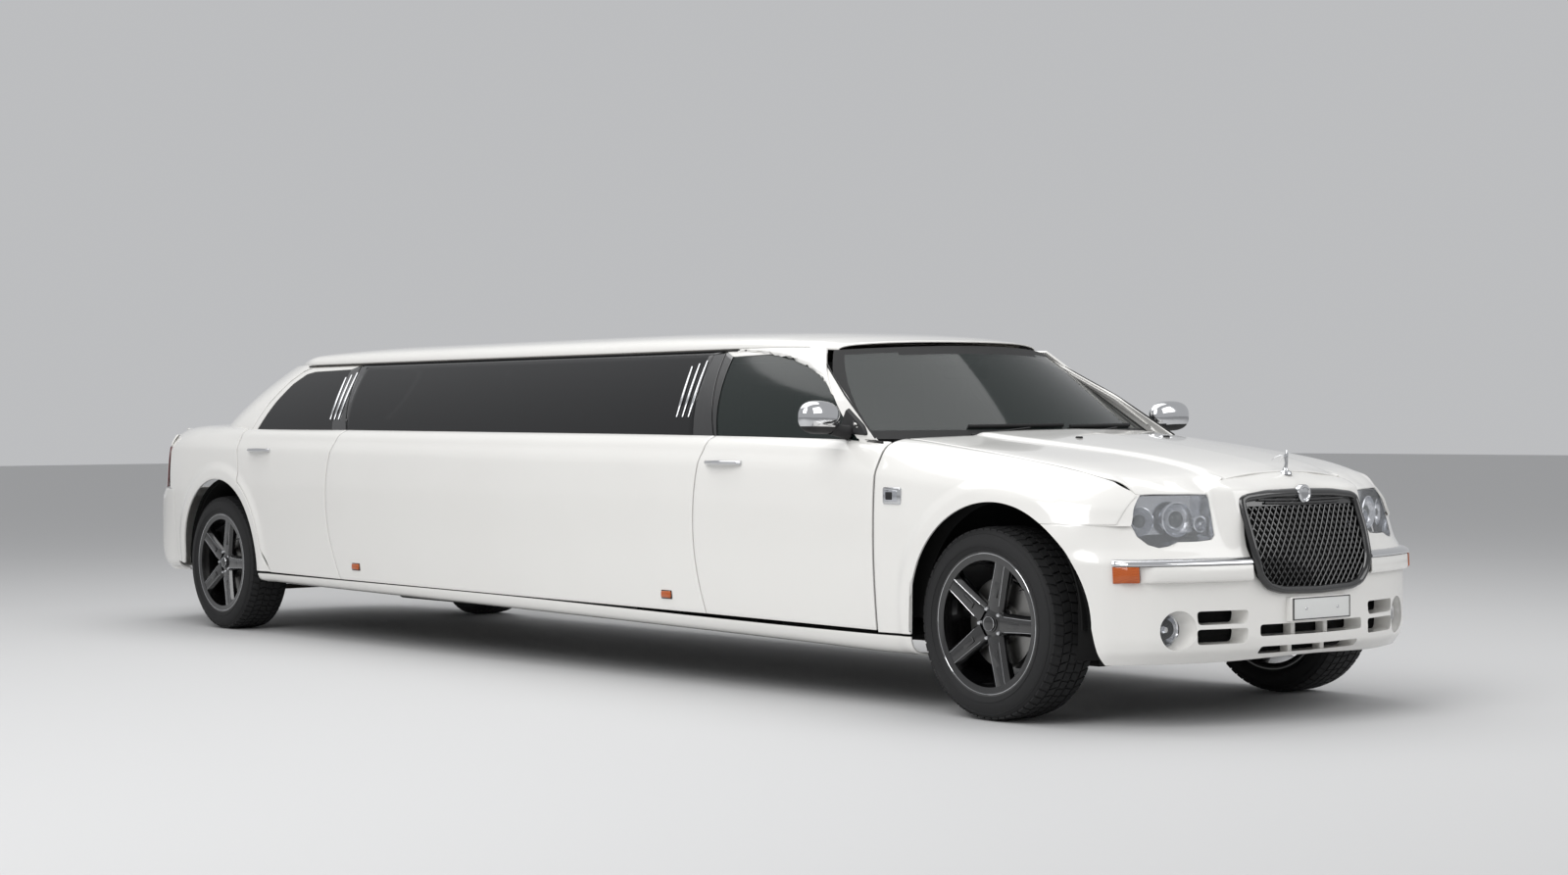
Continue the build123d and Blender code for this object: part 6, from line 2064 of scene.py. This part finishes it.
def makeCabin():
    # Dashboard with hood over the dials, wheel on the right, mirror and bar
    rows = []
    for y in np.linspace(-0.76, 0.76, 41):
        swell = 0.020 * math.exp(-((y + 0.38) / 0.17) ** 2)
        rows.append([(atFront(-0.80), y, 1.018), (atFront(-0.90), y, 1.022 + swell),
                     (atFront(-0.955), y, 1.008 + swell),
                     (atFront(-0.985), y, 0.965), (atFront(-1.000), y, 0.925), (atFront(-0.985), y, 0.85),
                     (atFront(-0.955), y, 0.765), (atFront(-0.80), y, 0.702)])
    dash = gridObject("dash", rows, coat["plastic"])
    thickened(dash, 60, -1, 0.012)
    softEdges(dash, 0.006, 25)
    parts = [dash]
    for y in (-0.63, -0.10, 0.10, 0.63):
        parts.append(turned("vent", [(0.0, 0.0), (0.028, 0.0), (0.033, -0.004), (0.036, 0.002)],
                            coat["chrome"],
                            (atFront(-1.000), y, 0.925), "x", 28))
    parts.append(slab("radioPanel", (atFront(-1.000), -0.11, 0.775), (atFront(-0.965), 0.11, 0.885), 0.006,
                      coat["black"]))
    parts.append(slab("console", (atFront(-1.62), -0.11, 0.378), (atFront(-0.99), 0.11, 0.60), 0.03,
                      coat["plastic"]))
    settle(joinPieces("dashAssembly", parts), "body", "trim_black", "dashboard")
    tilt = Matrix.Translation((atFront(-1.120), -0.38, 0.905)) @ Matrix.Rotation(math.radians(68), 4, "Y")
    ring = [(0.185 * math.cos(a), 0.185 * math.sin(a), 0) for a in np.linspace(0, 2 * math.pi, 65)[:-1]]
    wheelParts = [tube("rim", ring, 0.0145, coat["leather"], 14, closed=True)]
    wheelParts.append(turned("boss", [(0.0, -0.020), (0.040, -0.018), (0.056, -0.006), (0.060, 0.012),
                                      (0.0, 0.02)],
                             coat["plastic"], (0, 0, 0), "z", 40))
    for a in (0, 130, 230):
        c, n = math.cos(math.radians(a)), math.sin(math.radians(a))
        wheelParts.append(tube("arm", [(0.03 * c, 0.03 * n, 0.004), (0.11 * c, 0.11 * n, 0.006),
                                       (0.18 * c, 0.18 * n, 0)],
                               [0.020, 0.013, 0.010], coat["plastic"], 10, flat=0.5))
    wheelParts.append(tube("column", [(0, 0, 0.01), (0, 0, 0.11)], 0.024, coat["plastic"], 16))
    steering = joinPieces("steeringWheelPiece", wheelParts)
    settle(turnPiece(steering, tilt), "body", "leather", "steering_wheel")
    mirror = slab("insideMirror", (atFront(-1.090), -0.125, 1.300), (atFront(-1.066), 0.125, 1.362), 0.012,
                  coat["plastic"])
    stem = tube("insideMirrorStem", [(atFront(-1.062), 0, 1.340), (atFront(-1.000), 0, 1.392)], 0.008,
                coat["plastic"], 8)
    settle(joinPieces("insideMirror", [mirror, stem]), "body", "trim_black")
    # Linings of the doors, a hand's breadth inside the skins
    for name, body, x0, x1, z0, z1, place in (
            ("frontDoorTrim", "door_front_{}", -1.680, -0.640, 0.36, 1.045, atFront),
            ("rearDoorTrim", "door_rear_{}", 0.640, 1.200, 0.38, 1.075, atRear)):
        xs = np.linspace(place(x0), place(x1), 30)
        zs = np.linspace(z0, z1, 14)
        grid = np.zeros((14, 30, 3))
        for i, zz in enumerate(zs):
            grid[i, :, 0] = xs
            grid[i, :, 1] = -0.842 - (0.0 if 4 <= i <= 6 else 0.010)
            grid[i, :, 2] = zz
        trim = panel(name, grid, coat["leather"], 0.006, 0.003, outward=1)
        rest = slab("armRest", (xs[6], -0.846, 0.665), (xs[-6], -0.800, 0.705), 0.012, coat["plastic"])
        bothWays(name, joinPieces(name, [trim, rest]), body, "leather")
    # Bar with a stepped top and a bright rail
    x0, x1 = atRear(1.705), atFront(-2.405)
    bar = [slab("barBody", (x0, -0.778, 0.286), (x1, -0.485, 0.758), 0.012, coat["black"]),
           slab("barTop", (x0 - 0.018, -0.788, 0.760), (x1 + 0.018, -0.462, 0.789), 0.008, coat["plastic"])]
    for k in range(7):
        a = x0 + 0.03 + k * (x1 - x0 - 0.06) / 7
        bar.append(slab("barDoor", (a + 0.006, -0.490, 0.33),
                        (a + (x1 - x0 - 0.06) / 7 - 0.006, -0.479, 0.735), 0.004,
                        coat["plastic"]))
    bar.append(tube("barRail", [(x0 + 0.03, -0.468, 0.774), (x1 - 0.03, -0.468, 0.774)], 0.006,
                    coat["chrome"], 10))
    settle(joinPieces("barCabinet", bar), "body", "trim_black", "bar_console")
    screen = [slab("partitionWall", (atFront(-2.118), -0.768, 0.286), (atFront(-2.082), 0.768, 1.098), 0.006,
                   coat["carpet"]),
              slab("partitionRail", (atFront(-2.122), -0.768, 1.088), (atFront(-2.078), 0.768, 1.102), 0.004,
                   coat["chrome"])]
    wall = joinPieces("partitionPiece", screen)
    settle(wall, "body", "carpet")


makeWheels()
print("wheels made")
makeSideDetails()
makeScuttle()
makeOrnament()
makeSeats()
makeCabin()
print("cabin and details made")


# Floor, light and camera

def makeStage():
    floor = makeObject("studioFloor", [(-60, -60, 0), (60, -60, 0), (60, 60, 0), (-60, 60, 0)],
                       [(0, 1, 2, 3)])
    floor.data.materials.append(newFinish("paleFloor", "#c9c9c9", 0.75)[0])
    world = bpy.data.worlds.new("softStudio")
    bpy.context.scene.world = world
    world.use_nodes = True
    back = world.node_tree.nodes["Background"]
    back.inputs["Color"].default_value = (0.92, 0.93, 0.95, 1)
    back.inputs["Strength"].default_value = 0.55
    for name, place, size, power in (
        ("keyLamp", (4.0, -7.5, 6.5), 6.0, 420), ("fillLamp", (9.0, 3.0, 5.0), 5.0, 160),
        ("topLamp", (-1.0, 0.0, 7.5), 9.0, 380),
    ):
        lamp = bpy.data.lights.new(name, "AREA")
        lamp.energy, lamp.size = power, size
        holder = linked(name, lamp)
        holder.location = place
        aim = Vector((0, 0, 0.6)) - Vector(place)
        holder.rotation_euler = aim.to_track_quat("-Z", "Y").to_euler()


def makeCamera():
    # Solved from the photograph: place, aim and focal length in its 1600 pixel width
    yaw, pitch, roll = (math.radians(a) for a in (140.868, -0.352, -0.288))
    place = Vector((atFront(7.299), -7.818, 1.126))
    ahead = Vector((math.cos(yaw) * math.cos(pitch), math.sin(yaw) * math.cos(pitch), math.sin(pitch)))
    right = ahead.cross(Vector((0, 0, 1))).normalized()
    up = right.cross(ahead)
    right, up = (math.cos(roll) * right + math.sin(roll) * up,
                 -math.sin(roll) * right + math.cos(roll) * up)
    camera = bpy.data.cameras.new("photoCamera")
    camera.sensor_width = 36
    camera.lens = 2737.6 / 1600 * 36
    camera.clip_end = 200
    holder = linked("photoCamera", camera)
    holder.matrix_world = Matrix((
        (right.x, up.x, -ahead.x, place.x), (right.y, up.y, -ahead.y, place.y),
        (right.z, up.z, -ahead.z, place.z), (0, 0, 0, 1)))
    bpy.context.scene.camera = holder


makeStage()
makeCamera()
bpy.context.scene.view_settings.view_transform = "Standard"
